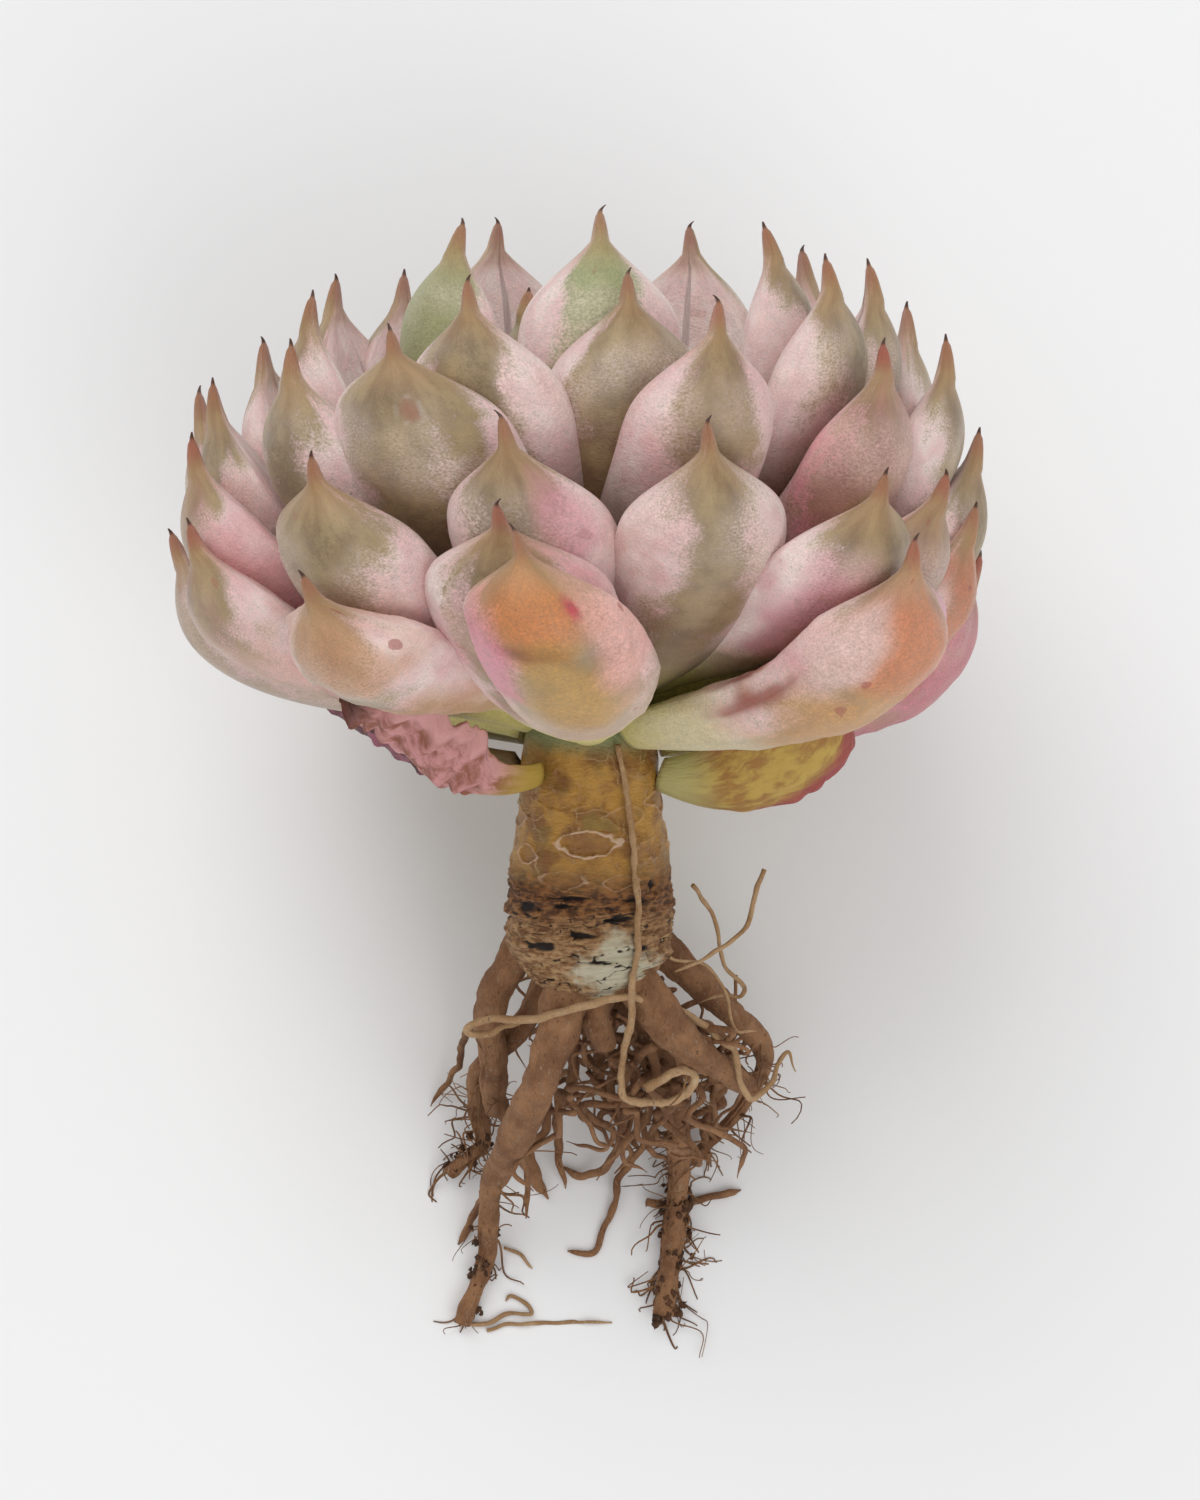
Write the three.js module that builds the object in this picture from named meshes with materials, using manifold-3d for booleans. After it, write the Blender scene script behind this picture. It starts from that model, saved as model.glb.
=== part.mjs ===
// A bare-root rosette succulent, lying on the ground as it does once it is lifted and its soil is shaken off:
// fleshy pointed leaves round a short stem, shrivelled leaves at the bottom of the rosette, a bud of young
// leaves in the middle, and woody roots that bend down to the ground.
//
// The plant is modelled upright, with the stem along +Z and the foot of the rosette at z = 0, and is laid
// down at the end. Azimuth 0 is -Y, the side that faces up when the plant lies, and azimuths grow towards +X.
import * as THREE from "three";
import { mergeVertices } from "three/addons/utils/BufferGeometryUtils.js";
import Module from "manifold-3d";

// Driving dimensions, in millimetres and degrees.
const ROSETTE_RADIUS = 47; // stem axis to the tips of the lowest leaves
const ROSETTE_HEIGHT = 61; // foot of the rosette to the tips of the highest leaves
const LEAF_WIDTH = 20;
const LEAF_THICKNESS = 8.2;
const LEAF_BODY = 0.7; // where along its length a leaf is widest
const SPINE_ROOM = 0.6; // left above a leaf's tip for the dry spine that grows on it
const LEAF_BASE_WIDTH = 6;
const LEAF_BASE_THICKNESS = 3.8;
const STEM_LENGTH = 27; // bare stem below the rosette, down to its rounded foot
const STEM_RADIUS = 7.8; // at the foot of the rosette
const STEM_SWELLING = 1.7; // how much thicker the stem gets just above the roots
const CORE_LENGTH = 24; // how far the stem goes on inside the rosette
const CORE_RADIUS = 3.4; // at the top of the core
const ROOT_RADIUS = 2.6; // of a root as thick as they get
const LAY_TILT = 20; // how far the stem rises from the ground towards the rosette
const GAP = 0.3; // clearance between pieces that press on each other

// Leaves, lowest tip first: [azimuth, tip radius, tip height, width, sideways lean of the tip]. The radius is a
// share of ROSETTE_RADIUS, the height a share of ROSETTE_HEIGHT, the width a share of LEAF_WIDTH, the lean in mm.
const LEAVES = [
  [160, 1, 0.36, 1, 0],
  [-160, 1, 0.36, 1, 0],
  [98, 0.94, 0.37, 0.95, 0],
  [124, 0.99, 0.38, 1, 0],
  [-124, 1, 0.39, 1, 0],
  [-98, 1.01, 0.41, 1, 0],
  [-36, 1, 0.43, 0.96, -2],
  [-1, 1.03, 0.53, 0.87, -6.5],
  [45, 0.99, 0.48, 1.08, 1],
  [-66, 0.99, 0.48, 1, 0],
  [78, 0.91, 0.49, 0.95, 0],
  [-10, 0.91, 0.56, 1, -2],
  [142, 0.94, 0.54, 1, 0],
  [180, 0.94, 0.53, 1, 0],
  [-142, 0.94, 0.55, 1, 0],
  [62, 0.91, 0.57, 0.92, 0],
  [43, 0.92, 0.59, 0.98, 1.5],
  [112, 0.92, 0.58, 1, 0],
  [88, 0.91, 0.61, 0.95, 0],
  [-73, 0.95, 0.62, 1, 0],
  [-40, 0.9, 0.62, 1.04, -2],
  [-106, 0.98, 0.66, 1, 0],
  [22, 0.84, 0.69, 0.96, -3],
  [-86, 0.88, 0.7, 0.95, 0],
  [-8, 0.83, 0.7, 0.88, -3.5],
  [160, 0.86, 0.7, 1, 0],
  [-170, 0.84, 0.73, 1, 0],
  [128, 0.84, 0.73, 1, 0],
  [-112, 0.85, 0.75, 0.9, 0],
  [84, 0.83, 0.78, 0.95, 0],
  [-60, 0.77, 0.79, 0.98, -0.5],
  [62, 0.75, 0.79, 0.98, 0],
  [107, 0.79, 0.82, 0.95, 0],
  [-30, 0.73, 0.83, 1.14, -4],
  [-150, 0.7, 0.83, 0.95, 0],
  [-80, 0.65, 0.86, 0.95, 0],
  [-133, 0.62, 0.87, 0.92, 0],
  [-113, 0.66, 0.87, 0.85, 0],
  [22, 0.68, 0.88, 0.86, 1.5],
  [90, 0.65, 0.91, 0.88, 0],
  [-22, 0.59, 0.91, 0.92, -2.5],
  [122, 0.6, 0.92, 0.88, 0],
  [10, 0.49, 0.92, 0.86, 0],
  [66, 0.58, 0.93, 0.92, 1],
  [150, 0.48, 0.96, 0.88, 0],
  [-148, 0.42, 0.97, 0.86, 0],
  [80, 0.41, 0.98, 0.84, 0],
  [-62, 0.33, 0.99, 0.84, 0],
  [4, 0.33, 1.02, 0.88, 0],
];

// Leaves that are bent otherwise than their neighbours, by number from the bottom: degrees added to the way the
// leaf leaves the stem and to the way its tip points, and mm added to the height of its foot.
const BENDS = {
  6: [9, 0, 1],
  7: [22, -4, 3],
  8: [10, 26, 1],
  9: [0, 16, 0],
  10: [9, 0, 1],
  16: [10, -6, 0],
  17: [9, 0, 2],
};

// Leaves with their own outline, by number: how full the leaf is near its foot, and how broad its shoulders are.
const SHAPES = {
  8: [2.6, 2.5],
  9: [2.4, 1.6],
  10: [1.8, 1.8],
  12: [1.5, 2],
  17: [1.4, 2.1],
  21: [1.5, 2.1],
  25: [1.9, 1.6],
  34: [2.2, 2.3],
};
const PLAIN_SHOULDER = 1.6;

// Shrivelled leaves under the rosette: where each points, how far it reaches, how high its tip is, its width, and
// how far it is turned about its own length.
const WITHERED = [
  { azimuth: -50, reach: 32, tipHeight: 12, width: 10, lean: -2, roll: -20, startAngle: -10 },
  { azimuth: -104, reach: 34, tipHeight: 9, width: 13, lean: 2, roll: -30, startAngle: -8 },
  { azimuth: 74, reach: 32, tipHeight: 8, width: 15, lean: -3, roll: 55, startAngle: -16 },
];
const WITHERED_THICKNESS = 2.2;

// Young leaves that wrap the growing point, as one bud.
const BUD_LEAVES = 7;
const GOLDEN_ANGLE = 137.5;

// Main roots. Each stop is [sideways, past the stem's foot, drop, thickness]: drop runs from 0, level with the
// stem's axis, to 1, lying on the ground, and thickness is a share of ROOT_RADIUS.
const ROOTS = {
  root_front_left: [[-1.5, -4, -0.1, 0.85], [-4.9, 7, -0.15, 0.83], [-8.7, 18, 0.15, 0.8], [-11.6, 26, 0.6, 0.5],
    [-12.3, 35, 0.95, 0.46], [-15.2, 43, 1, 0.4]],
  root_far_left: [[-6.5, -7, 0.05, 0.75], [-11, 1, 0.1, 0.73], [-11.3, 9, 0.3, 0.66], [-11.2, 17, 0.6, 0.5]],
  root_looped_left: [[-4, -2, 0.2, 0.5], [-8.2, 6, 0.3, 0.5], [-13, 12, 0.5, 0.45], [-13.2, 18, 0.75, 0.42],
    [-12.6, 22, 0.85, 0.38], [-16.8, 26, 0.95, 0.36]],
  root_front_right: [[3.5, -5, -0.1, 0.85], [9, 3, -0.15, 0.85], [13.5, 8, 0, 0.7], [18, 12, 0.2, 0.4]],
  root_long_right: [[2.5, -2, 0.3, 0.6], [8.2, 10, 0.4, 0.65], [10.3, 19, 0.65, 0.58], [10.2, 29, 0.95, 0.5],
    [8.6, 42, 1, 0.44]],
  root_far_right: [[6.5, -6, 0.15, 0.65], [14.5, 2, 0.2, 0.6], [20, 9, 0.4, 0.42], [18.2, 17, 0.75, 0.3],
    [12, 25, 0.97, 0.26]],
};

const TRIM = 0.05; // detail smaller than this is dropped from a pressed face

const RAD = Math.PI / 180;
const LEAF_STATIONS = [0, 0.2, 0.4, 0.58, 0.72, 0.82, 0.9, 0.985]; // sections, as shares of its length
const LEAF_SIDES = 8;
const ROOT_SIDES = 7;
const STEM_SIDES = 20;

const mix = (a, b, t) => a + (b - a) * t;
const smooth = (t) => t * t * (3 - 2 * t);
// A small repeatable variation from -1 to 1, so that no two leaves are quite alike.
const vary = (index) => Math.sin(index * 12.9898);

// A closed solid through rings of points, each the same length, with a fan over either end.
function loft(rings) {
  const sides = rings[0].length;
  const points = rings.flat();
  const first = points.push(centreOf(rings[0])) - 1;
  const last = points.push(centreOf(rings[rings.length - 1])) - 1;
  const faces = [];
  for (let ring = 0; ring < rings.length - 1; ring++) {
    for (let side = 0; side < sides; side++) {
      const a = ring * sides + side;
      const b = ring * sides + ((side + 1) % sides);
      faces.push(a, b, b + sides, a, b + sides, a + sides);
    }
  }
  for (let side = 0; side < sides; side++) {
    const next = (side + 1) % sides;
    const top = (rings.length - 1) * sides;
    faces.push(first, next, side, last, top + side, top + next);
  }
  const geometry = new THREE.BufferGeometry();
  geometry.setAttribute("position", new THREE.Float32BufferAttribute(points.flatMap((p) => p.toArray()), 3));
  geometry.setIndex(faces);
  return geometry;
}

function centreOf(ring) {
  return ring.reduce((sum, p) => sum.add(p), new THREE.Vector3()).divideScalar(ring.length);
}

// Radius of the stem at a height: swollen above its rounded foot, tapering to the core inside the rosette.
function stemRadius(z) {
  if (z >= 0) return mix(STEM_RADIUS, CORE_RADIUS, Math.min(1, z / CORE_LENGTH));
  const down = Math.min(1, -z / STEM_LENGTH);
  const rounding = Math.sqrt(1 - (Math.max(0, down - 0.7) / 0.32) ** 2);
  return (STEM_RADIUS + STEM_SWELLING * smooth(Math.min(1, down / 0.7))) * rounding;
}

function stemGeometry(grow = 0) {
  const levels = [-1, -0.95, -0.85, -0.7, -0.35, 0].map((share) => share * STEM_LENGTH);
  levels.push(CORE_LENGTH / 2, CORE_LENGTH);
  const rings = levels.map((z, i) => {
    const end = i === 0 ? -grow : i === levels.length - 1 ? grow : 0;
    const radius = stemRadius(z) + grow;
    return Array.from({ length: STEM_SIDES }, (_, side) => {
      const turn = (side / STEM_SIDES) * 2 * Math.PI;
      return new THREE.Vector3(radius * Math.cos(turn), radius * Math.sin(turn), z + end);
    });
  });
  return loft(rings);
}

// Share of the leaf's full width at u, from 0 at the stem to 1 at the tip: a narrow foot, a broad body, and
// round shoulders that draw in to a slender point. A fuller leaf is broad nearer to its foot.
function leafOutline(u, footShare, { fullness, shoulder }) {
  if (u < LEAF_BODY) return mix(1, footShare, (1 - u / LEAF_BODY) ** fullness);
  const t = (u - LEAF_BODY) / (1 - LEAF_BODY);
  return 0.88 * (0.5 + 0.5 * Math.cos(Math.PI * Math.min(1, t / 0.94) ** shoulder)) + 0.12 * (1 - t);
}

// One leaf. Its midline is a cubic curve in the upright plane at its azimuth, out from the stem and up to the
// tip; each section is a half-ellipse on the outer side and a flatter one on the inner side, cupped inwards.
function leafGeometry(leaf, grow = 0) {
  const start = new THREE.Vector2(stemRadius(leaf.foot) + GAP + leaf.clear - grow, leaf.foot);
  const end = new THREE.Vector2(leaf.tipRadius, leaf.tipHeight);
  const chord = start.distanceTo(end);
  const heading = (angle, length) => new THREE.Vector2(Math.cos(angle * RAD), Math.sin(angle * RAD)).multiplyScalar(length);
  const midline = new THREE.CubicBezierCurve(
    start,
    start.clone().add(heading(leaf.startAngle, 0.45 * chord)),
    end.clone().sub(heading(leaf.endAngle, 0.4 * chord)),
    end.clone().add(heading(leaf.endAngle, 2 * grow)),
  );
  const outward = new THREE.Vector3(Math.sin(leaf.azimuth * RAD), -Math.cos(leaf.azimuth * RAD), 0);
  const across = new THREE.Vector3(Math.cos(leaf.azimuth * RAD), Math.sin(leaf.azimuth * RAD), 0);
  const up = new THREE.Vector3(0, 0, 1);
  return loft(LEAF_STATIONS.map((u) => leafSection(leaf, midline, u, grow, outward, across, up)));
}

function leafSection(leaf, midline, u, grow, outward, across, up) {
  const middle = midline.getPoint(u);
  const ahead = midline.getTangent(u);
  const facing = outward.clone().multiplyScalar(ahead.y).addScaledVector(up, -ahead.x);
  const side = across.clone().applyAxisAngle(alongLeaf(across, facing), leaf.roll * RAD);
  const outer = facing.clone().applyAxisAngle(alongLeaf(across, facing), leaf.roll * RAD);
  const centre = outward.clone().multiplyScalar(middle.x).addScaledVector(up, middle.y)
    .addScaledVector(side, leaf.lean * u ** 3);
  const half = (leaf.width / 2) * leafOutline(u, leaf.footWidth / leaf.width, leaf) + grow;
  const body = leafOutline(u, leaf.footThickness / leaf.thickness, leaf) ** 0.9;
  const ridge = 0.93 * (1 + 0.35 * smooth(clamp01((u - 0.6) / 0.35)));
  return Array.from({ length: LEAF_SIDES }, (_, step) => {
    const turn = (-step / LEAF_SIDES) * 2 * Math.PI;
    const sideways = half * rounded(Math.cos(turn), 0.93);
    const outside = Math.sin(turn) > 0;
    const depth = (outside ? 0.64 : 0.36) * leaf.thickness * body + grow;
    const deep = depth * rounded(Math.sin(turn), outside ? ridge : 0.93);
    const cupped = leaf.cup * half * Math.cos(turn) ** 2;
    return centre.clone().addScaledVector(side, sideways).addScaledVector(outer, deep - cupped);
  });
}

const clamp01 = (t) => Math.min(1, Math.max(0, t));
// A signed power: 1 leaves an ellipse as it is, less makes it fuller, more draws it to a ridge.
const rounded = (value, power) => Math.sign(value) * Math.abs(value) ** power;
// The axis about which across turns towards facing.
const alongLeaf = (across, facing) => new THREE.Vector3().crossVectors(across, facing).normalize();

// A leaf of the rosette, with the set of its curve from its rank, 0 for the lowest and 1 for the highest.
function rosetteLeaf([azimuth, radius, height, width, lean], index) {
  const rank = index / (LEAVES.length - 1);
  const [firstBend, lastBend, raised] = BENDS[index + 1] ?? [0, 0, 0];
  const [fullness, shoulder] = SHAPES[index + 1] ?? [mix(1.8, 2.8, rank), PLAIN_SHOULDER];
  return {
    azimuth,
    lean,
    foot: mix(2, CORE_LENGTH - 6, rank) + raised,
    tipRadius: radius * ROSETTE_RADIUS,
    tipHeight: height * ROSETTE_HEIGHT - SPINE_ROOM,
    startAngle: mix(7, 52, rank) + firstBend,
    endAngle: mix(64, 106, rank) + lastBend,
    fullness,
    shoulder,
    roll: 0,
    width: width * LEAF_WIDTH,
    thickness: LEAF_THICKNESS * mix(1, 0.85, rank) * (1 + 0.06 * vary(index)),
    footWidth: LEAF_BASE_WIDTH,
    footThickness: LEAF_BASE_THICKNESS,
    cup: 0.2,
    clear: 0,
  };
}

function witheredLeaf(withered, index) {
  return {
    azimuth: withered.azimuth,
    lean: withered.lean,
    foot: -0.8 - 0.4 * index,
    tipRadius: withered.reach,
    tipHeight: withered.tipHeight,
    startAngle: withered.startAngle,
    endAngle: 38,
    fullness: 2,
    shoulder: PLAIN_SHOULDER,
    roll: withered.roll,
    width: withered.width,
    thickness: WITHERED_THICKNESS,
    footWidth: 4.5,
    footThickness: 1.8,
    cup: 0.35,
    clear: 0,
  };
}

function budLeaf(index) {
  const rank = index / (BUD_LEAVES - 1);
  return {
    azimuth: 20 + GOLDEN_ANGLE * index,
    lean: 0,
    foot: CORE_LENGTH + 1,
    tipRadius: mix(10, 2, rank),
    tipHeight: mix(ROSETTE_HEIGHT - 5, ROSETTE_HEIGHT - 16, rank),
    startAngle: 84,
    endAngle: 92,
    fullness: 2,
    shoulder: PLAIN_SHOULDER,
    roll: 0,
    width: mix(12, 6.5, rank),
    thickness: mix(5.4, 3.6, rank),
    footWidth: 5.5,
    footThickness: 4.5,
    cup: 0.2,
    clear: -stemRadius(CORE_LENGTH) - GAP + mix(3, 0.8, rank),
  };
}

// A root: round sections along a smooth curve through its stops.
function rootGeometry(stops, toPoint, grow = 0) {
  const curve = new THREE.CatmullRomCurve3(stops.map(toPoint));
  const steps = 3 * (stops.length - 1);
  const frames = curve.computeFrenetFrames(steps);
  const rings = Array.from({ length: steps + 1 }, (_, step) => {
    const along = step / steps;
    const position = curve.getPointAt(along);
    const place = curve.getUtoTmapping(along) * (stops.length - 1);
    const before = Math.min(stops.length - 2, Math.floor(place));
    const radius = ROOT_RADIUS * mix(stops[before][3], stops[before + 1][3], place - before) + grow;
    return Array.from({ length: ROOT_SIDES }, (_, side) => {
      const turn = (side / ROOT_SIDES) * 2 * Math.PI;
      return position.clone()
        .addScaledVector(frames.normals[step], radius * Math.cos(turn))
        .addScaledVector(frames.binormals[step], radius * Math.sin(turn));
    });
  });
  return loft(rings);
}

// Cutting and joining, with every solid in the plant's upright frame.
const wasm = await Module();
wasm.setup();

function toSolid(geometry) {
  const merged = mergeVertices(geometry, 1e-4);
  const solid = new wasm.Manifold(
    new wasm.Mesh({
      numProp: 3,
      vertProperties: merged.attributes.position.array,
      triVerts: new Uint32Array(merged.index.array),
    }),
  );
  return solid;
}

function toGeometry(solid) {
  const mesh = solid.getMesh();
  const points = new Float32Array(mesh.numVert * 3);
  for (let i = 0; i < mesh.numVert; i++) {
    points.set(mesh.vertProperties.subarray(i * mesh.numProp, i * mesh.numProp + 3), i * 3);
  }
  const geometry = new THREE.BufferGeometry();
  geometry.setAttribute("position", new THREE.BufferAttribute(points, 3));
  geometry.setIndex(new THREE.BufferAttribute(mesh.triVerts, 1));
  geometry.computeVertexNormals();
  return geometry;
}

// What is left of a solid once the pieces that press on it have taken their room: its largest part.
function pressedBy(solid, pressing) {
  const cut = pressing.reduce((rest, other) => rest.subtract(other), solid).simplify(TRIM);
  return cut.decompose().sort((a, b) => b.volume() - a.volume())[0];
}

const flesh = (color) => new THREE.MeshStandardMaterial({ color, roughness: 0.55, metalness: 0 });
const PINK = 0xdcc3c2;
const OLIVE_PINK = 0xc2ae9e;
const DRY_PINK = 0xc4909a;
const BARK = 0xa98558;
const ROOT_BROWN = 0x9a7a62;

const plant = new THREE.Group();

function addPiece(name, solid, material) {
  const mesh = new THREE.Mesh(toGeometry(solid), material);
  mesh.name = name;
  plant.add(mesh);
}

// The stem.
addPiece("stem", toSolid(stemGeometry()), flesh(BARK));
const stemRoom = toSolid(stemGeometry(GAP));

// The bud, then the leaves from the top of the rosette down: a younger leaf keeps its shape and the older one
// under it is pressed hollow.
const budLeaves = Array.from({ length: BUD_LEAVES }, (_, index) => budLeaf(index));
const bud = budLeaves.map((leaf) => toSolid(leafGeometry(leaf))).reduce((all, leaf) => all.add(leaf));
addPiece("heart_bud", pressedBy(bud, [stemRoom]), flesh(PINK));
const taken = budLeaves.map((leaf) => toSolid(leafGeometry(leaf, GAP)));

const rosette = LEAVES.map(rosetteLeaf);
const number = (index) => String(index + 1).padStart(2, "0");
for (let index = rosette.length - 1; index >= 0; index--) {
  const leaf = pressedBy(toSolid(leafGeometry(rosette[index])), [stemRoom, ...taken]);
  addPiece("leaf_" + number(index), leaf, flesh(index % 2 ? PINK : OLIVE_PINK));
  taken.push(toSolid(leafGeometry(rosette[index], GAP)));
}
WITHERED.forEach((withered, index) => {
  const shape = witheredLeaf(withered, index);
  const leaf = pressedBy(toSolid(leafGeometry(shape)), [stemRoom, ...taken]);
  addPiece("withered_leaf_" + (index + 1), leaf, flesh(DRY_PINK));
  taken.push(toSolid(leafGeometry(shape, GAP)));
});

// Laid down, the rosette's lowest leaf sets the ground, and the roots are bent to reach it.
const layDown = -(90 - LAY_TILT) * RAD;
plant.rotation.x = layDown;
plant.updateMatrixWorld(true);
const ground = new THREE.Box3().setFromObject(plant, true).min.z;
const rise = Math.sin(LAY_TILT * RAD);
const across = Math.cos(LAY_TILT * RAD);

// A root's stop in the upright frame: the ground is a slanting plane there.
function rootPoint([sideways, pastFoot, drop, thickness]) {
  const down = STEM_LENGTH + pastFoot;
  const axisHeight = -down * rise;
  const height = mix(axisHeight, ground + thickness * ROOT_RADIUS, drop);
  return new THREE.Vector3(sideways, (axisHeight - height) / across, -down);
}

const rootRoom = [stemRoom];
for (const [name, stops] of Object.entries(ROOTS)) {
  const root = pressedBy(toSolid(rootGeometry(stops, rootPoint)), rootRoom);
  addPiece(name, root, flesh(ROOT_BROWN));
  rootRoom.push(toSolid(rootGeometry(stops, rootPoint, GAP)));
}

// The part's origin is at the middle of its footprint, on the ground.
plant.updateMatrixWorld(true);
const box = new THREE.Box3().setFromObject(plant, true);
plant.position.set(-(box.min.x + box.max.x) / 2, -(box.min.y + box.max.y) / 2, -box.min.z);

export default plant;
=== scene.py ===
# %% [markdown]
# # A rosette succulent out of its pot
# The plant was lifted and its soil shaken off. It lies with the rosette's rim and the root ends on the
# table. Everything here is built round one idea: the plant grows about a straight axis, so each leaf,
# scar and root is written down in the plant's own directions and then laid down on the table in one step.

# %% Load the frame
import math
import bpy
import numpy as np
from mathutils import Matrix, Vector


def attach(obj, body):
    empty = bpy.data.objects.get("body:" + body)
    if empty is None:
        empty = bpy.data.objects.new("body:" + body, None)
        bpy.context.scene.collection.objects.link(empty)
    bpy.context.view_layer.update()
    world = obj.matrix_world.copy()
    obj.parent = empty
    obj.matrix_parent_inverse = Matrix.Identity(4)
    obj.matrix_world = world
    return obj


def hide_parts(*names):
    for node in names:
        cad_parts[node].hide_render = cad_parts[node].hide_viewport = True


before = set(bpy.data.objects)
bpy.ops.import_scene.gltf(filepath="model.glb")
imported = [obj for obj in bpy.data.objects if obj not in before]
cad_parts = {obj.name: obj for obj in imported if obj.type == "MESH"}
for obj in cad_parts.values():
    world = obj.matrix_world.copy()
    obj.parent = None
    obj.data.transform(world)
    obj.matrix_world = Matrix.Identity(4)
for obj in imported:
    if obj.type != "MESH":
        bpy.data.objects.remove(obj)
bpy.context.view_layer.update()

# %% [markdown]
# ## The plant's own directions
# The stem leans 20 degrees up from the table, towards +Y. Three unit vectors describe the plant:
# sideways, back into the side that lies down, and along the stem. An azimuth of 0 points out of the side
# that faces up, and it grows towards sideways. Where the stem meets the rosette is not guessed: the
# packed stem's end disc gives the top of the axis, and the known length of the core leads back to the
# rosette's foot.

# %% Find the stem's axis in the frame
MM = 0.001
LAY_TILT = math.radians(20)
SIDEWAYS = np.array([1.0, 0.0, 0.0])
BACK = np.array([0.0, math.sin(LAY_TILT), -math.cos(LAY_TILT)])
ALONG = np.array([0.0, math.cos(LAY_TILT), math.sin(LAY_TILT)])
CORE_LENGTH = 24.0
STEM_LENGTH = 27.0
END_DISC_BAND = 0.02 * MM


def frame_points(node):
    """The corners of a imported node's mesh, as an array."""
    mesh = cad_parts[node].data
    points = np.empty(3 * len(mesh.vertices))
    mesh.vertices.foreach_get("co", points)
    return points.reshape(-1, 3)


stem_corners = frame_points("stem")
stem_heights = stem_corners @ ALONG
core_end = stem_corners[stem_heights > stem_heights.max() - END_DISC_BAND].mean(axis=0)
ROSETTE_FOOT = core_end - CORE_LENGTH * MM * ALONG
print("rosette's foot, metres:", ROSETTE_FOOT.round(4))
print("stem length, mm:", round(np.ptp(stem_heights) / MM, 2), "against", STEM_LENGTH + CORE_LENGTH)


def lay_down(points):
    """Plant millimetres (sideways, back, along the stem) to metres in the frame."""
    sideways, back, along = np.moveaxis(points * MM, -1, 0)[..., None]
    return ROSETTE_FOOT + sideways * SIDEWAYS + back * BACK + along * ALONG


# %% [markdown]
# ## Meshes from rings of points
# A leaf, a stem and a root are all the same kind of surface: a row of closed rings. A grid of rings
# becomes a mesh of four-sided faces with a small fan at either end, so the surface is closed and its
# poles are clean. Working on whole arrays keeps this fast, and every value that a material needs can
# travel along as an attribute on the points.

# %% Rings to a mesh
TABLE_SKIN = 0.01 * MM


def ring_faces(rows, columns):
    """Corner numbers of a closed row of rings: quads between rings, then a fan over each end."""
    row, column = np.meshgrid(np.arange(rows - 1), np.arange(columns), indexing="ij")
    ahead = (column + 1) % columns
    quads = np.stack([row * columns + column, row * columns + ahead,
                      (row + 1) * columns + ahead, (row + 1) * columns + column], axis=-1).reshape(-1, 4)
    spot = np.arange(columns)
    following = (spot + 1) % columns
    first = np.full(columns, rows * columns)
    last_row = (rows - 1) * columns
    near_fan = np.stack([first, following, spot], axis=-1)
    far_fan = np.stack([first + 1, last_row + spot, last_row + following], axis=-1)
    return quads, np.concatenate([near_fan, far_fan])


def ring_mesh(name, rings, attributes):
    """One object from rings of shape (pieces, rows, columns, 3), with point attributes of the same shape.
    What would go through the table is pressed flat on it."""
    pieces, rows, columns, _ = rings.shape

    def with_poles(grid):
        return np.concatenate([grid.reshape(pieces, rows * columns, -1), grid[:, 0].mean(axis=1)[:, None],
                               grid[:, -1].mean(axis=1)[:, None]], axis=1).reshape(-1, grid.shape[-1])

    points = with_poles(rings)
    points[:, 2] = np.maximum(points[:, 2], TABLE_SKIN)
    offsets = (np.arange(pieces) * (rows * columns + 2))[:, None, None]
    quads, fans = ring_faces(rows, columns)
    quads = (quads[None] + offsets).reshape(-1, 4)
    fans = (fans[None] + offsets).reshape(-1, 3)
    corners = np.concatenate([quads.ravel(), fans.ravel()]).astype(np.int32)
    starts = np.concatenate([np.arange(len(quads)) * 4, len(quads) * 4 + np.arange(len(fans)) * 3])
    mesh = bpy.data.meshes.new(name)
    mesh.vertices.add(len(points))
    mesh.vertices.foreach_set("co", points.astype(np.float32).ravel())
    mesh.loops.add(len(corners))
    mesh.loops.foreach_set("vertex_index", corners)
    mesh.polygons.add(len(starts))
    mesh.polygons.foreach_set("loop_start", starts.astype(np.int32))
    mesh.update(calc_edges=True)
    mesh.shade_smooth()
    for label, grid in attributes.items():
        layer = mesh.attributes.new(label, "FLOAT_VECTOR", "POINT")
        layer.data.foreach_set("vector", with_poles(grid).astype(np.float32).ravel())
    obj = bpy.data.objects.new(name, mesh)
    bpy.context.collection.objects.link(obj)
    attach(obj, "root")
    return obj


# %% [markdown]
# ## Uneven growth
# Nothing on a plant is exactly repeated. A lattice noise gives each surface its dents and folds: random
# values sit on the corners of a cubic grid and are blended smoothly in between. The same numbers come out
# every time.

# %% Noise for shapes
CORNER_CODES = (374761393, 668265263, 1103515245)
SCRAMBLE = 1274126177
LOW_32_BITS = 0xFFFFFFFF
LOW_16_BITS = 0xFFFF


def lattice_noise(places, seed=0):
    """Smooth noise from -1 to 1: random values on whole-number corners with a smooth step between them."""
    cell = np.floor(places).astype(np.int64)
    inside = places - cell
    inside = inside * inside * (3 - 2 * inside)
    total = 0
    for corner in np.ndindex(2, 2, 2):
        spots = np.moveaxis(cell + np.array(corner), -1, 0)
        code = sum(spot * factor for spot, factor in zip(spots, CORNER_CODES))
        code = (code + seed * SCRAMBLE) & LOW_32_BITS
        code = ((code ^ (code >> 13)) * SCRAMBLE) & LOW_32_BITS
        value = ((code ^ (code >> 16)) & LOW_16_BITS) / (LOW_16_BITS / 2) - 1
        share = np.prod(np.where(corner, inside, 1 - inside), axis=-1)
        total = total + share * value
    return total


def rough_noise(places, layers=3, seed=0):
    """Several lattice noises on top of each other, each twice as fine and half as strong."""
    return sum(lattice_noise(places * 2**layer, seed + layer) / 2**layer for layer in range(layers))


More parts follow.
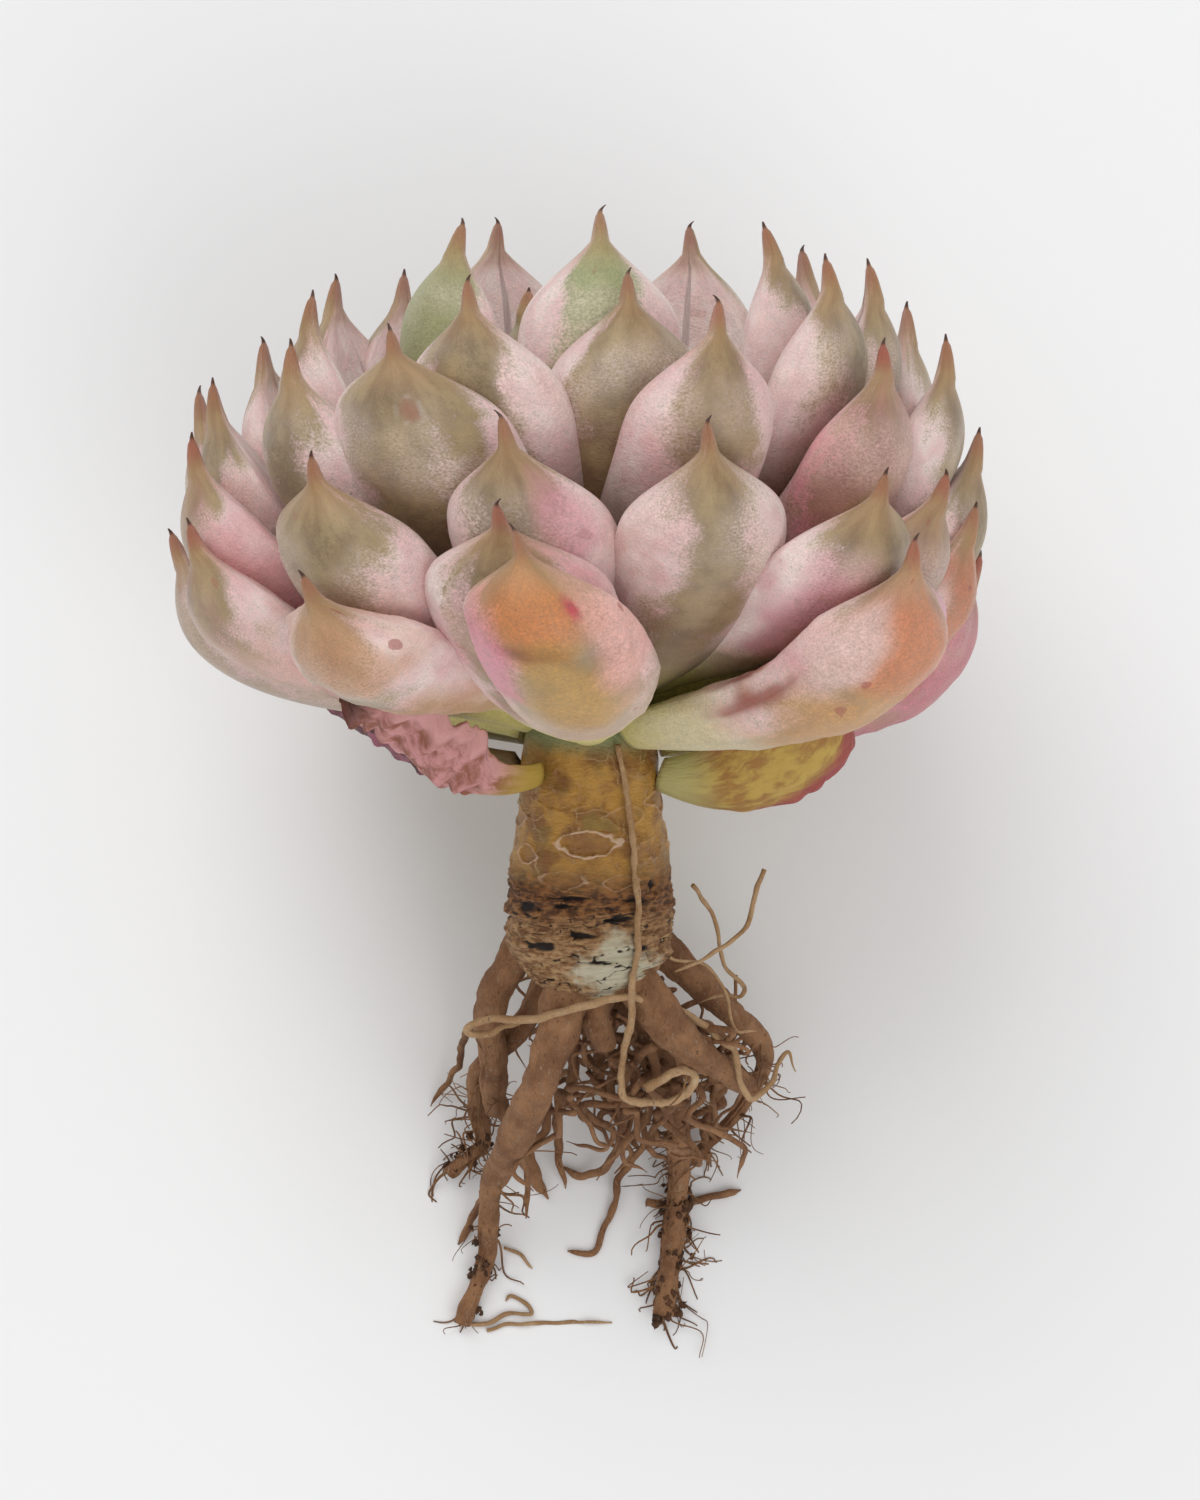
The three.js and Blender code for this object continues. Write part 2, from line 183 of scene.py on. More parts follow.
def random_vectors(places, seed):
    """A lattice noise for each of the three axes."""
    return np.stack([lattice_noise(places, seed + axis) for axis in range(3)], axis=-1)


def between(low, high, rank):
    """A value part of the way from low to high."""
    return low + (high - low) * rank


def smooth_step(values, low, high):
    """0 below low, 1 above high, and a smooth S between."""
    share = np.clip((values - low) / (high - low), 0, 1)
    return share * share * (3 - 2 * share)


def outward_normals(rings):
    """Unit normals of a grid of rings: the cross product of the way round and the way along."""
    way_round = np.roll(rings, -1, axis=-2) - np.roll(rings, 1, axis=-2)
    way_along = np.gradient(rings, axis=-3)
    normals = np.cross(way_round, way_along)
    return normals / np.maximum(np.linalg.norm(normals, axis=-1, keepdims=True), 1e-9)


# %% [markdown]
# ## One fleshy leaf
# A leaf of this plant is a thick, water-filled wedge: a narrow foot on the stem, a broad body, and round
# shoulders that draw in to a long point with a dry spine on it. It could be sculpted once and copied, but
# no two leaves point or curve the same way. A formula is better: a cubic curve is the leaf's midline, and
# each section across it is half an ellipse on the outer side and a flatter one on the inner side.

# %% Leaf formula
ROSETTE_RADIUS = 47.0
ROSETTE_HEIGHT = 61.0
LEAF_WIDTH = 20.0
LEAF_THICKNESS = 8.2
LEAF_BASE_WIDTH = 6.0
LEAF_BASE_THICKNESS = 3.8
STEM_RADIUS = 7.8
STEM_SWELLING = 1.7
STEM_FULL = 0.7
STEM_ROUNDING = 0.32
CORE_RADIUS = 3.4
CLEARANCE = 0.3
SPINE_SHARE = 0.016
SPINE_PLACES = (0.93, 0.975, 0.996, 1.0, 1.0 + SPINE_SHARE)
SPINE_RADII = (1.15, 0.72, 0.45, 0.28, 0.09)
LEAF_BODY = 0.7
POINT_ROUNDED = 0.88
POINT_STRAIGHT = 0.12
POINT_END = 0.94
LEAVING_PULL = 0.45
ARRIVING_PULL = 0.4
OUTER_DEPTH = 0.64
INNER_DEPTH = 0.36
SECTION_ROUNDNESS = 0.93
THICKNESS_TAPER = 0.9
RIDGE = 0.35
RIDGE_RISE = (0.6, 0.95)


def stem_radius(height):
    """Radius of the stem in mm: swollen above its rounded foot, tapering to the core inside the rosette."""
    down = np.clip(-height / STEM_LENGTH, 0, 1)
    swelling = STEM_SWELLING * smooth_step(down, 0, STEM_FULL)
    rounding = np.sqrt(1 - (np.maximum(0, down - STEM_FULL) / STEM_ROUNDING) ** 2)
    core = STEM_RADIUS + (CORE_RADIUS - STEM_RADIUS) * np.clip(height / CORE_LENGTH, 0, 1)
    return np.where(height < 0, (STEM_RADIUS + swelling) * rounding, core)


def leaf_outline(along, foot_share, fullness, shoulder):
    """Share of the full width: it swells from the foot to the body, then follows a cosine into the point."""
    swelling = 1 - (1 - foot_share) * np.clip(1 - along / LEAF_BODY, 0, 1) ** fullness
    t = np.clip((along - LEAF_BODY) / (1 - LEAF_BODY), 0, 1)
    cosine = 0.5 + 0.5 * np.cos(np.pi * np.clip(t / POINT_END, 0, 1) ** shoulder)
    return np.where(along < LEAF_BODY, swelling, POINT_ROUNDED * cosine + POINT_STRAIGHT * (1 - t))


def leaf_rings(leaf, along, around):
    """Rings of a leaf in plant mm. A cubic curve in the leaf's upright plane is the midline. Across it the
    section is wide by the outline, deep by a rounded outer and inner half, and cupped inwards at its edges by
    the square of the way across. Past the tip a dry spine bends aside."""
    start = np.array([stem_radius(leaf["foot"]) + CLEARANCE + leaf["clear"], leaf["foot"]])
    end = np.array([leaf["tip_radius"], leaf["tip_height"]])
    chord = np.linalg.norm(end - start)
    leave, arrive = (np.radians(leaf[key]) for key in ("start_angle", "end_angle"))
    pull = start + LEAVING_PULL * chord * np.array([np.cos(leave), np.sin(leave)])
    draw = end - ARRIVING_PULL * chord * np.array([np.cos(arrive), np.sin(arrive)])
    t = along[:, None]
    middle = (1 - t) ** 3 * start + 3 * (1 - t) ** 2 * t * pull + 3 * (1 - t) * t**2 * draw + t**3 * end
    ahead = (1 - t) ** 2 * (pull - start) + 2 * (1 - t) * t * (draw - pull) + t**2 * (end - draw)
    ahead = ahead / np.linalg.norm(ahead, axis=-1, keepdims=True)
    azimuth = np.radians(leaf["azimuth"])
    outward = np.array([np.sin(azimuth), -np.cos(azimuth), 0])
    across = np.array([np.cos(azimuth), np.sin(azimuth), 0])
    up = np.array([0, 0, 1])
    outer = ahead[:, 1:] * outward - ahead[:, :1] * up
    roll = np.radians(leaf["roll"])
    across, outer = (across * np.cos(roll) + outer * np.sin(roll),
                     outer * np.cos(roll) - across * np.sin(roll))
    aside = leaf["lean"] * t**3 + leaf["spine_bend"] * np.clip((t - 1) / SPINE_SHARE, 0, 1) ** 2
    centre = middle[:, :1] * outward + middle[:, 1:] * up + aside * across
    spine = np.interp(along, SPINE_PLACES, SPINE_RADII)
    taper = leaf["fullness"], leaf["shoulder"]
    outline = leaf_outline(along, leaf["foot_width"] / leaf["width"], *taper)
    half = np.maximum(leaf["width"] / 2 * outline, spine)
    outline = leaf_outline(along, leaf["foot_thickness"] / leaf["thickness"], *taper)
    thick = np.maximum(leaf["thickness"] * outline**THICKNESS_TAPER, 2 * spine)
    cos, sin = np.cos(around)[None], np.sin(around)[None]
    ridged = 1 + RIDGE * smooth_step(along, *RIDGE_RISE)[:, None]
    outer_face = OUTER_DEPTH * np.abs(sin) ** (SECTION_ROUNDNESS * ridged)
    inner_face = -INNER_DEPTH * np.abs(sin) ** SECTION_ROUNDNESS
    deep = np.where(sin > 0, outer_face, inner_face) * thick[:, None]
    sideways = half[:, None] * np.sign(cos) * np.abs(cos) ** SECTION_ROUNDNESS
    inward = leaf["cup"] * half[:, None] * cos**2
    rings = centre[:, None] + sideways[..., None] * across[:, None]
    return rings + (deep - inward)[..., None] * outer[:, None]


# %% [markdown]
# ## Where every leaf points
# The leaves stand in a spiral, but pushing against each other and the light has moved them, so each one
# has its own line: azimuth, tip radius, tip height, width and the sideways lean of its tip. They are the
# values of the frame's solids, lowest leaf first, and the set of the curve follows from a leaf's rank.

# %% Leaf list
LEAVES = np.array([
    [160, 1, 0.36, 1, 0], [-160, 1, 0.36, 1, 0], [98, 0.94, 0.37, 0.95, 0], [124, 0.99, 0.38, 1, 0],
    [-124, 1, 0.39, 1, 0], [-98, 1.01, 0.41, 1, 0], [-36, 1, 0.43, 0.96, -2], [-1, 1.03, 0.53, 0.87, -6.5],
    [45, 0.99, 0.48, 1.08, 1], [-66, 0.99, 0.48, 1, 0], [78, 0.91, 0.49, 0.95, 0], [-10, 0.91, 0.56, 1, -2],
    [142, 0.94, 0.54, 1, 0], [180, 0.94, 0.53, 1, 0], [-142, 0.94, 0.55, 1, 0], [62, 0.91, 0.57, 0.92, 0],
    [43, 0.92, 0.59, 0.98, 1.5], [112, 0.92, 0.58, 1, 0], [88, 0.91, 0.61, 0.95, 0], [-73, 0.95, 0.62, 1, 0],
    [-40, 0.9, 0.62, 1.04, -2], [-106, 0.98, 0.66, 1, 0], [22, 0.84, 0.69, 0.96, -3],
    [-86, 0.88, 0.7, 0.95, 0],
    [-8, 0.83, 0.7, 0.88, -3.5], [160, 0.86, 0.7, 1, 0], [-170, 0.84, 0.73, 1, 0], [128, 0.84, 0.73, 1, 0],
    [-112, 0.85, 0.75, 0.9, 0], [84, 0.83, 0.78, 0.95, 0], [-60, 0.77, 0.79, 0.98, -0.5],
    [62, 0.75, 0.79, 0.98, 0], [107, 0.79, 0.82, 0.95, 0], [-30, 0.73, 0.83, 1.14, -4],
    [-150, 0.7, 0.83, 0.95, 0], [-80, 0.65, 0.86, 0.95, 0], [-133, 0.62, 0.87, 0.92, 0],
    [-113, 0.66, 0.87, 0.85, 0], [22, 0.68, 0.88, 0.86, 1.5], [90, 0.65, 0.91, 0.88, 0],
    [-22, 0.59, 0.91, 0.92, -2.5], [122, 0.6, 0.92, 0.88, 0], [10, 0.49, 0.92, 0.86, 0],
    [66, 0.58, 0.93, 0.92, 1], [150, 0.48, 0.96, 0.88, 0], [-148, 0.42, 0.97, 0.86, 0],
    [80, 0.41, 0.98, 0.84, 0], [-62, 0.33, 0.99, 0.84, 0], [4, 0.33, 1.02, 0.88, 0],
])

# By leaf number: degrees added to how it leaves the stem and to how its tip points, and mm added to its foot.
BENDS = {6: (9, 0, 1), 7: (22, -4, 3), 8: (10, 26, 1), 9: (0, 16, 0), 10: (9, 0, 1), 16: (10, -6, 0),
         17: (9, 0, 2)}
# By leaf number: how full it is near its foot, and how broad its shoulders are.
SHAPES = {8: (2.6, 2.5), 9: (2.4, 1.6), 10: (1.8, 1.8), 12: (1.5, 2.0), 17: (1.4, 2.1), 21: (1.5, 2.1),
          25: (1.9, 1.6), 34: (2.2, 2.3)}
PLAIN_SHOULDER = 1.6
# For the lowest and the highest leaf; the others lie in between by rank.
FULLNESS = (1.8, 2.8)
FOOT_HEIGHTS = (2, CORE_LENGTH - 6)
START_ANGLES = (7, 52)
END_ANGLES = (64, 106)
THICKNESS_SHARES = (1, 0.85)
# The same for all leaves.
THICKNESS_SPREAD = 0.06
SPINE_ROOM = 0.6
SPINE_BEND = 0.7
LEAF_CUP = 0.2


def rosette_leaf(index):
    """A leaf's sizes from its line in the list and its rank, 0 for the lowest and 1 for the highest."""
    azimuth, radius, height, width, lean = LEAVES[index]
    rank = index / (len(LEAVES) - 1)
    first_bend, last_bend, raised = BENDS.get(index + 1, (0, 0, 0))
    fullness, shoulder = SHAPES.get(index + 1, (between(*FULLNESS, rank), PLAIN_SHOULDER))
    uneven = 1 + THICKNESS_SPREAD * math.sin(index * 12.9898)
    return dict(azimuth=azimuth, lean=lean, roll=0, clear=0, cup=LEAF_CUP, fullness=fullness,
                shoulder=shoulder, foot=between(*FOOT_HEIGHTS, rank) + raised,
                tip_radius=radius * ROSETTE_RADIUS, tip_height=height * ROSETTE_HEIGHT - SPINE_ROOM,
                start_angle=between(*START_ANGLES, rank) + first_bend,
                end_angle=between(*END_ANGLES, rank) + last_bend,
                width=width * LEAF_WIDTH, spine_bend=SPINE_BEND * math.sin(index * 4.1),
                thickness=LEAF_THICKNESS * between(*THICKNESS_SHARES, rank) * uneven,
                foot_width=LEAF_BASE_WIDTH, foot_thickness=LEAF_BASE_THICKNESS)


# %% [markdown]
# ## Old and young leaves
# The oldest leaves, at the bottom, are turning: they soften, wrinkle and colour up orange and magenta.
# Age runs from 0, firm, to 1, about to be dropped. Olive says how much of a leaf the dark streaks cover,
# blush how much pink it has, and green marks the few leaves whose middle stayed green. Shade darkens the
# lower part of the upper leaves, deep between their neighbours: painted shade.

# %% Age and colouring of each leaf
AGE = {3: 0.7, 7: 0.6, 8: 0.5, 9: 0.6, 10: 0.2, 11: 0.9, 12: 0.35, 16: 0.2}
BLUSH = {3: 0.9, 6: 0.3, 9: 0.5, 10: 0.55, 12: 0.6, 16: 0.5, 20: 0.6, 32: 0.9, 39: 0.35}
PLAIN_BLUSH = 0.12
GREEN = {45: 0.3, 46: 0.5, 48: 0.8, 49: 0.9}
SHADED_NUMBERS = (16, 26)
LEAF_ROWS = 76
LEAF_COLUMNS = 64
ROWS_TO_TIP = 1.3
ALONG_STEPS = (1 + SPINE_SHARE) * (1 - (1 - np.linspace(0, 1, LEAF_ROWS)) ** ROWS_TO_TIP)
AROUND_STEPS = np.linspace(0, -2 * np.pi, LEAF_COLUMNS, endpoint=False)
SEED_STEP = 7.3


def colour(red, green, blue):
    """A screen colour of 0 to 255 as the linear colour that shaders work in."""
    share = np.array([red, green, blue]) / 255
    linear = np.where(share <= 0.04045, share / 12.92, ((share + 0.055) / 1.055) ** 2.4)
    return (*linear.tolist(), 1.0)


# By leaf number: a patch's middle across and along, half width, half length, screen colour and strength.
PATCHES = {
    8: [(0, 0.45, 1.4, 0.16, (210, 182, 160), 0.85), (-0.1, 0.87, 0.8, 0.08, (204, 128, 72), 0.9),
        (0.15, 0.66, 0.5, 0.12, (196, 152, 82), 0.9), (-0.15, 0.795, 0.45, 0.014, (136, 74, 46), 0.8),
        (-0.85, 0.72, 0.34, 0.13, (214, 126, 146), 0.85), (0.85, 0.78, 0.35, 0.16, (230, 172, 160), 0.85),
        (0.1, 0.8, 0.35, 0.02, (196, 150, 60), 0.4),
        (0.5, 0.875, 0.1, 0.018, (190, 64, 80), 0.95)],
    9: [(0, 0.2, 1.4, 0.16, (216, 204, 172), 0.9), (0.05, 0.6, 0.85, 0.2, (200, 150, 92), 0.95),
        (0, 0.8, 0.8, 0.12, (206, 130, 92), 0.9), (-0.93, 0.52, 0.05, 0.15, (146, 62, 40), 0.95),
        (0.95, 0.66, 0.22, 0.2, (220, 150, 174), 0.85), (-0.75, 0.76, 0.25, 0.1, (226, 196, 190), 0.8),
        (0, 0.95, 0.9, 0.05, (208, 150, 122), 0.8)],
    7: [(0, 0.85, 0.9, 0.12, (200, 148, 112), 0.7), (0.1, 0.6, 0.14, 0.035, (170, 62, 52), 0.9),
        (-0.3, 0.72, 0.2, 0.03, (184, 80, 70), 0.7), (0, 0.45, 0.9, 0.2, (188, 142, 98), 0.8)],
    11: [(0, 0.8, 0.9, 0.2, (196, 120, 84), 0.9), (0, 0.55, 0.6, 0.08, (180, 86, 84), 0.8)],
    3: [(0, 0.7, 1.1, 0.3, (196, 116, 128), 0.9), (0.2, 0.5, 0.5, 0.15, (168, 60, 84), 0.8)],
    34: [(0.35, 0.6, 0.1, 0.022, (140, 66, 58), 0.9), (0.3, 0.86, 0.1, 0.02, (156, 96, 74), 0.7)],
    32: [(-0.3, 0.62, 0.28, 0.12, (150, 134, 70), 0.8)],
    17: [(-0.5, 0.66, 0.4, 0.16, (204, 134, 150), 0.7)],
    20: [(0.5, 0.62, 0.4, 0.12, (206, 146, 154), 0.6)],
    25: [(0.6, 0.8, 0.35, 0.1, (212, 144, 158), 0.7)],
    10: [(0.2, 0.6, 0.8, 0.2, (206, 164, 146), 0.6)],
    6: [(0.2, 0.6, 0.9, 0.3, (190, 168, 156), 0.6)],
}


def leaf_patches(number, across, along, place):
    """Colour and share of a leaf's own patches: each is a soft oval, with an edge made uneven by noise."""
    tint = np.ones(across.shape + (3,))
    covered = np.zeros(across.shape)
    uneven = 0.35 * rough_noise(place * [0.3, 0.3, 1], 2, 77)
    for x, u, wide, long, screen_colour, strength in PATCHES.get(number, []):
        distance = np.sqrt(((across - x) / wide) ** 2 + ((along - u) / long) ** 2) + uneven
        amount = strength * smooth_step(-distance, -1.5, -0.5)
        covered = amount + covered * (1 - amount)
        paint = np.array(colour(*screen_colour)[:3])
        tint = tint + (paint - tint) * (amount / np.maximum(covered, 1e-6))[..., None]
    return tint, covered


def on_leaf(*values):
    """Three values, each even over a leaf or varying round or along it, as vectors on its grid of points."""
    return np.stack([np.broadcast_to(value, (LEAF_ROWS, LEAF_COLUMNS)) for value in values], axis=-1)


def leaf_attributes(leaf, number, age=0.0, olive=0.5, blush=PLAIN_BLUSH, green=0.0, shade=0.0):
    """What a leaf's material reads: mm round and along the leaf with a seed, the way across and along, and
    its colouring. The way round is counted from the middle of the outer face, so it is even over the edges."""
    from_outer_middle = (AROUND_STEPS - np.pi / 2 + np.pi) % (2 * np.pi) - np.pi
    along = ALONG_STEPS[:, None]
    length = math.dist((leaf["tip_radius"], leaf["tip_height"]), (CORE_RADIUS, leaf["foot"]))
    place = on_leaf(from_outer_middle * leaf["width"] / np.pi, along * length, SEED_STEP * number)
    shape = on_leaf(np.cos(AROUND_STEPS), along, np.sin(AROUND_STEPS))
    tint, covered = leaf_patches(number, shape[..., 0], shape[..., 1], place)
    facts = {"place": place, "shape": shape, "mood": on_leaf(age, olive, blush), "tint": tint,
             "cover": on_leaf(covered, green, shade)}
    return {key: grid[None] for key, grid in facts.items()}


def soft_dents(rings, place, along, age):
    """Moves a leaf's points along their normals: broad dents everywhere, lengthwise folds where it is old."""
    broad = lattice_noise(place * [0.16, 0.07, 1.0], 3)
    ribs = lattice_noise(place * [0.5, 0.03, 1.0], 8)
    folds = 1 - 2 * np.abs(lattice_noise(place * [0.28, 0.09, 1.0], 5))
    crinkles = rough_noise(place * [0.7, 0.45, 1.0], 2, 11)
    body = smooth_step(along, 0.1, 0.4) * smooth_step(1 - along, 0.02, 0.2)
    dents = 0.35 * broad + 0.16 * ribs + age * (0.5 * folds + 0.28 * crinkles)
    return rings + (dents * body)[..., None] * outward_normals(rings)


# %% Grow the rosette
rosette = []
for index in range(len(LEAVES)):
    leaf = rosette_leaf(index)
    number = index + 1
    age = AGE.get(number, 0.0)
    olive = 0.5 + 0.35 * math.sin(number * 2.39)
    facts = leaf_attributes(leaf, number, age, olive, BLUSH.get(number, PLAIN_BLUSH), GREEN.get(number, 0.0),
                            float(smooth_step(number, *SHADED_NUMBERS)))
    rings = leaf_rings(leaf, ALONG_STEPS, AROUND_STEPS)
    rings = soft_dents(rings, facts["place"][0], facts["shape"][0, ..., 1], age)
    obj = ring_mesh(f"rosette_leaf_{number:02d}", lay_down(rings)[None], facts)
    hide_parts(f"leaf_{number:02d}")
    rosette.append(obj)
print("leaves:", len(rosette), "faces each:", len(rosette[0].data.polygons))

# %% [markdown]
# ## The heart
# Round the growing point the youngest leaves still wrap each other. They are the same formula made small,
# each one a golden angle, 137.5 degrees, on from the last, all in one mesh because the frame has them as
# one bud.

# %% Young leaves
BUD_LEAVES = 7
HEART_LEAVES = 12
INNERMOST_RANK = 1.6
GOLDEN_ANGLE = 137.5
FIRST_YOUNG_SEED = 60


def heart_leaf(index):
    """A young leaf: its tip moves inwards and down, and it gets smaller, as the rank rises."""
    rank = min(index / (BUD_LEAVES - 1), INNERMOST_RANK)
    return dict(azimuth=20 + GOLDEN_ANGLE * index, lean=0, roll=0, spine_bend=0, cup=LEAF_CUP, fullness=2,
                shoulder=PLAIN_SHOULDER, foot=CORE_LENGTH + 1, foot_width=5.5, foot_thickness=4.5,
                tip_radius=max(between(10, 2, rank), 0.6),
                tip_height=between(ROSETTE_HEIGHT - 5, ROSETTE_HEIGHT - 16, rank),
                start_angle=84, end_angle=92, width=max(between(12, 6.5, rank), 3.5),
                thickness=max(between(5.4, 3.6, rank), 2),
                clear=-stem_radius(CORE_LENGTH) - CLEARANCE + max(between(3, 0.8, rank), 0.3))


young = [heart_leaf(index) for index in range(HEART_LEAVES)]
young_facts = [leaf_attributes(leaf, FIRST_YOUNG_SEED + index, blush=0.1, green=0.5)
               for index, leaf in enumerate(young)]
young_rings = np.stack([leaf_rings(leaf, ALONG_STEPS, AROUND_STEPS) for leaf in young])
heart = ring_mesh("rosette_heart", lay_down(young_rings),
                  {key: np.concatenate([facts[key] for facts in young_facts]) for key in young_facts[0]})
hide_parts("heart_bud")
print("heart:", len(heart.data.polygons), "faces")

# %% [markdown]
# ## Shrivelled leaves
# Under the rosette hang leaves that have given their water back: paper-thin, crumpled and dark at the
# tip. They keep the leaf formula for where they go, with almost no thickness, and are then crumpled by
# ridged noise, which folds a smooth noise at zero so that it has sharp creases.

# %% Wither the lowest leaves
WITHERED = [
    dict(azimuth=-50, tip_radius=32, tip_height=12, width=10, lean=-2, roll=-20, start_angle=-10, crumple=1),
    dict(azimuth=-104, tip_radius=34, tip_height=9, width=13, lean=2, roll=-30, start_angle=-8, crumple=0.8),
    dict(azimuth=74, tip_radius=32, tip_height=8, width=15, lean=-3, roll=55, start_angle=-16, crumple=0.45),
]
FIRST_WITHERED_SEED = 80
withered = []
for index, line in enumerate(WITHERED):
    leaf = dict(line, foot=-0.8 - 0.4 * index, end_angle=38, thickness=2.2, foot_width=4.5,
                foot_thickness=1.8, cup=0.35, clear=0, spine_bend=0.8, fullness=2, shoulder=PLAIN_SHOULDER)
    facts = leaf_attributes(leaf, FIRST_WITHERED_SEED + index)
    rings = leaf_rings(leaf, ALONG_STEPS, AROUND_STEPS)
    place = facts["place"][0]
    same_both_faces = place * [0, 0.35, 1] + facts["shape"][0] * [leaf["width"] * 0.25, 0, 0]
    creases = 1 - 2 * np.abs(rough_noise(same_both_faces, 2, 21))
    waves = lattice_noise(same_both_faces * [0.5, 0.4, 1], 31)
    along = facts["shape"][0, ..., 1]
    amount = leaf["crumple"] * smooth_step(along, 0.1, 0.45)
    azimuth = math.radians(leaf["azimuth"])
    lift = np.array([-0.5 * math.sin(azimuth), 0.5 * math.cos(azimuth), 0.85])
    rings = rings + (amount * (0.8 * creases + 1.3 * waves))[..., None] * lift
    obj = ring_mesh(f"shrivelled_leaf_{index + 1}", lay_down(rings)[None],
                    {key: facts[key] for key in ("place", "shape")})
    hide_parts(f"withered_leaf_{index + 1}")
    withered.append(obj)
print("shrivelled leaves:", len(withered))

# %% [markdown]
# ## The stem
# The bare stem is marked by the leaves it has lost: lens-shaped scars with pale corky rims. Towards the
# roots the green skin turns to cracked bark. The shape is a radius over height and way round; scars are
# raised rims on it, bark is a noise stretched sideways, and slits are narrow grooves.

# %% Stem shape
# Azimuth in degrees, then height, half width and half height in mm, and for a scar how strong it is.
SCARS = np.array([
    [0, -8, 3.4, 1.3, 1], [-24, -3.4, 3.0, 1.0, 0.35], [32, -5.2, 2.4, 1.0, 0.5], [-52, -9.8, 1.6, 0.9, 0.8],
    [52, -9.2, 2.2, 1.1, 0.4], [-19, -12.2, 2.6, 0.8, 0.5], [22, -12.4, 2.2, 0.7, 0.5], [75, -4, 3, 1.2, 0.6],
    [-80, -6, 3, 1.2, 0.6], [110, -9, 3, 1.3, 0.8], [-120, -3.5, 3, 1.2, 0.6], [-150, -9.5, 3, 1.3, 0.8],
    [150, -4.5, 3, 1.2, 0.6], [175, -12, 3, 1.3, 0.7], [-100, -12, 2.6, 1.1, 0.6], [95, -13.5, 2.4, 1, 0.5],
])
SLITS = np.array([
    [20, -16.6, 1.9, 0.35], [-33, -19.8, 2.0, 0.5], [-50, -15.6, 1.4, 0.7], [-5, -18.3, 1.6, 0.3],
    [40, -20.3, 1.6, 0.4], [-85, -17.5, 2, 0.4], [80, -18, 1.8, 0.4], [130, -16.5, 2, 0.4],
    [-140, -18, 2, 0.4],
    [-22, -15.2, 1.2, 0.25], [5, -21.4, 1.8, 0.3], [-12, -14.2, 2.2, 0.25], [33, -14.6, 1.6, 0.3],
])
BUD_SCARS = np.array([[50, -13.2, 0.7, 0.6]])


def marks(spots, turn, height, uneven):
    """Distance from each lens-shaped mark, 1 on its outline: an ellipse with pointed ends, unevenly edged."""
    azimuth, level, half_width, half_height = spots.T[:4, :, None, None]
    away = (turn - np.radians(azimuth) + np.pi) % (2 * np.pi) - np.pi
    x = away * STEM_RADIUS / half_width
    y = (height - level) / (half_height * np.clip(1.15 - 0.5 * x * x, 0.3, 1.2))
    return np.sqrt(x * x + y * y) + uneven


stem_levels = np.concatenate([np.linspace(-STEM_LENGTH, 3, 240), np.linspace(4, CORE_LENGTH, 12)])
turn, height = np.meshgrid(np.linspace(0, 2 * np.pi, 288, endpoint=False), stem_levels)
around_stem = np.stack([np.sin(turn) * STEM_RADIUS, -np.cos(turn) * STEM_RADIUS, height], axis=-1)
uneven = 0.3 * rough_noise(around_stem * 0.8, 3, 14)
scars = marks(SCARS, turn, height, uneven)
strength = SCARS[:, 4, None, None]
rim = (strength * np.exp(-((scars - 1) / (0.12 + 0.1 * uneven)) ** 2)).max(axis=0)
sunken = (strength * smooth_step(-scars, -0.95, -0.7)).max(axis=0)
slit = np.exp(-((marks(SLITS, turn, height, uneven).min(axis=0)) / 0.9) ** 2)
hole = np.exp(-((marks(BUD_SCARS, turn, height, uneven * 0.3).min(axis=0)) / 0.8) ** 2)
bark_share = smooth_step(-height + 2 * lattice_noise(around_stem * 0.25, 4), 11.5, 16)
layers = rough_noise(around_stem * [0.22, 0.22, 1.3], 4, 2)
cracks = smooth_step(np.abs(rough_noise(around_stem * [0.3, 0.3, 0.9], 3, 17)), 0, 0.12)
skin = rough_noise(around_stem * 0.3, 3, 6)
bark = bark_share * (0.5 * layers - 0.3 * (1 - cracks))
bumps = 0.25 * rim - 0.18 * sunken + 0.2 * skin + bark - 0.8 * slit - 0.8 * hole
radius = stem_radius(height) + bumps * smooth_step(-height, -4, 0)
stem_rings = np.stack([radius * np.sin(turn), -radius * np.cos(turn), height], axis=-1)
stem = ring_mesh("bare_stem", lay_down(stem_rings)[None], {
    "place": around_stem[None],
    "marks": np.stack([rim, slit + hole + 0.8 * bark_share * (1 - cracks), sunken], axis=-1)[None],
})
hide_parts("stem")
print("stem:", len(stem.data.polygons), "faces")

# %% [markdown]
# ## Main roots
# Woody roots leave the rounded foot of the stem and bend down to the table. Each is a round profile
# carried along a smooth curve through a few stops, the same stops as the frame's solids. A stop says how
# far sideways it is, how far past the stem's foot, how far it has dropped from the axis to the table, and
# how thick it is.

# %% Curves and tubes
TABLE = -ROSETTE_FOOT[2] / MM
ROOT_RADIUS = 2.6


def root_places(stops):
    """Stops (sideways, past the foot, drop, thickness) to plant mm. Drop 1 lies on the table."""
    sideways, past_foot, drop, thickness = np.asarray(stops, float).T
    down = STEM_LENGTH + past_foot
    axis_height = -down * math.sin(LAY_TILT)
    height = axis_height + (TABLE + thickness * ROOT_RADIUS - axis_height) * drop
    return np.stack([sideways, (axis_height - height) / math.cos(LAY_TILT), -down], axis=-1)


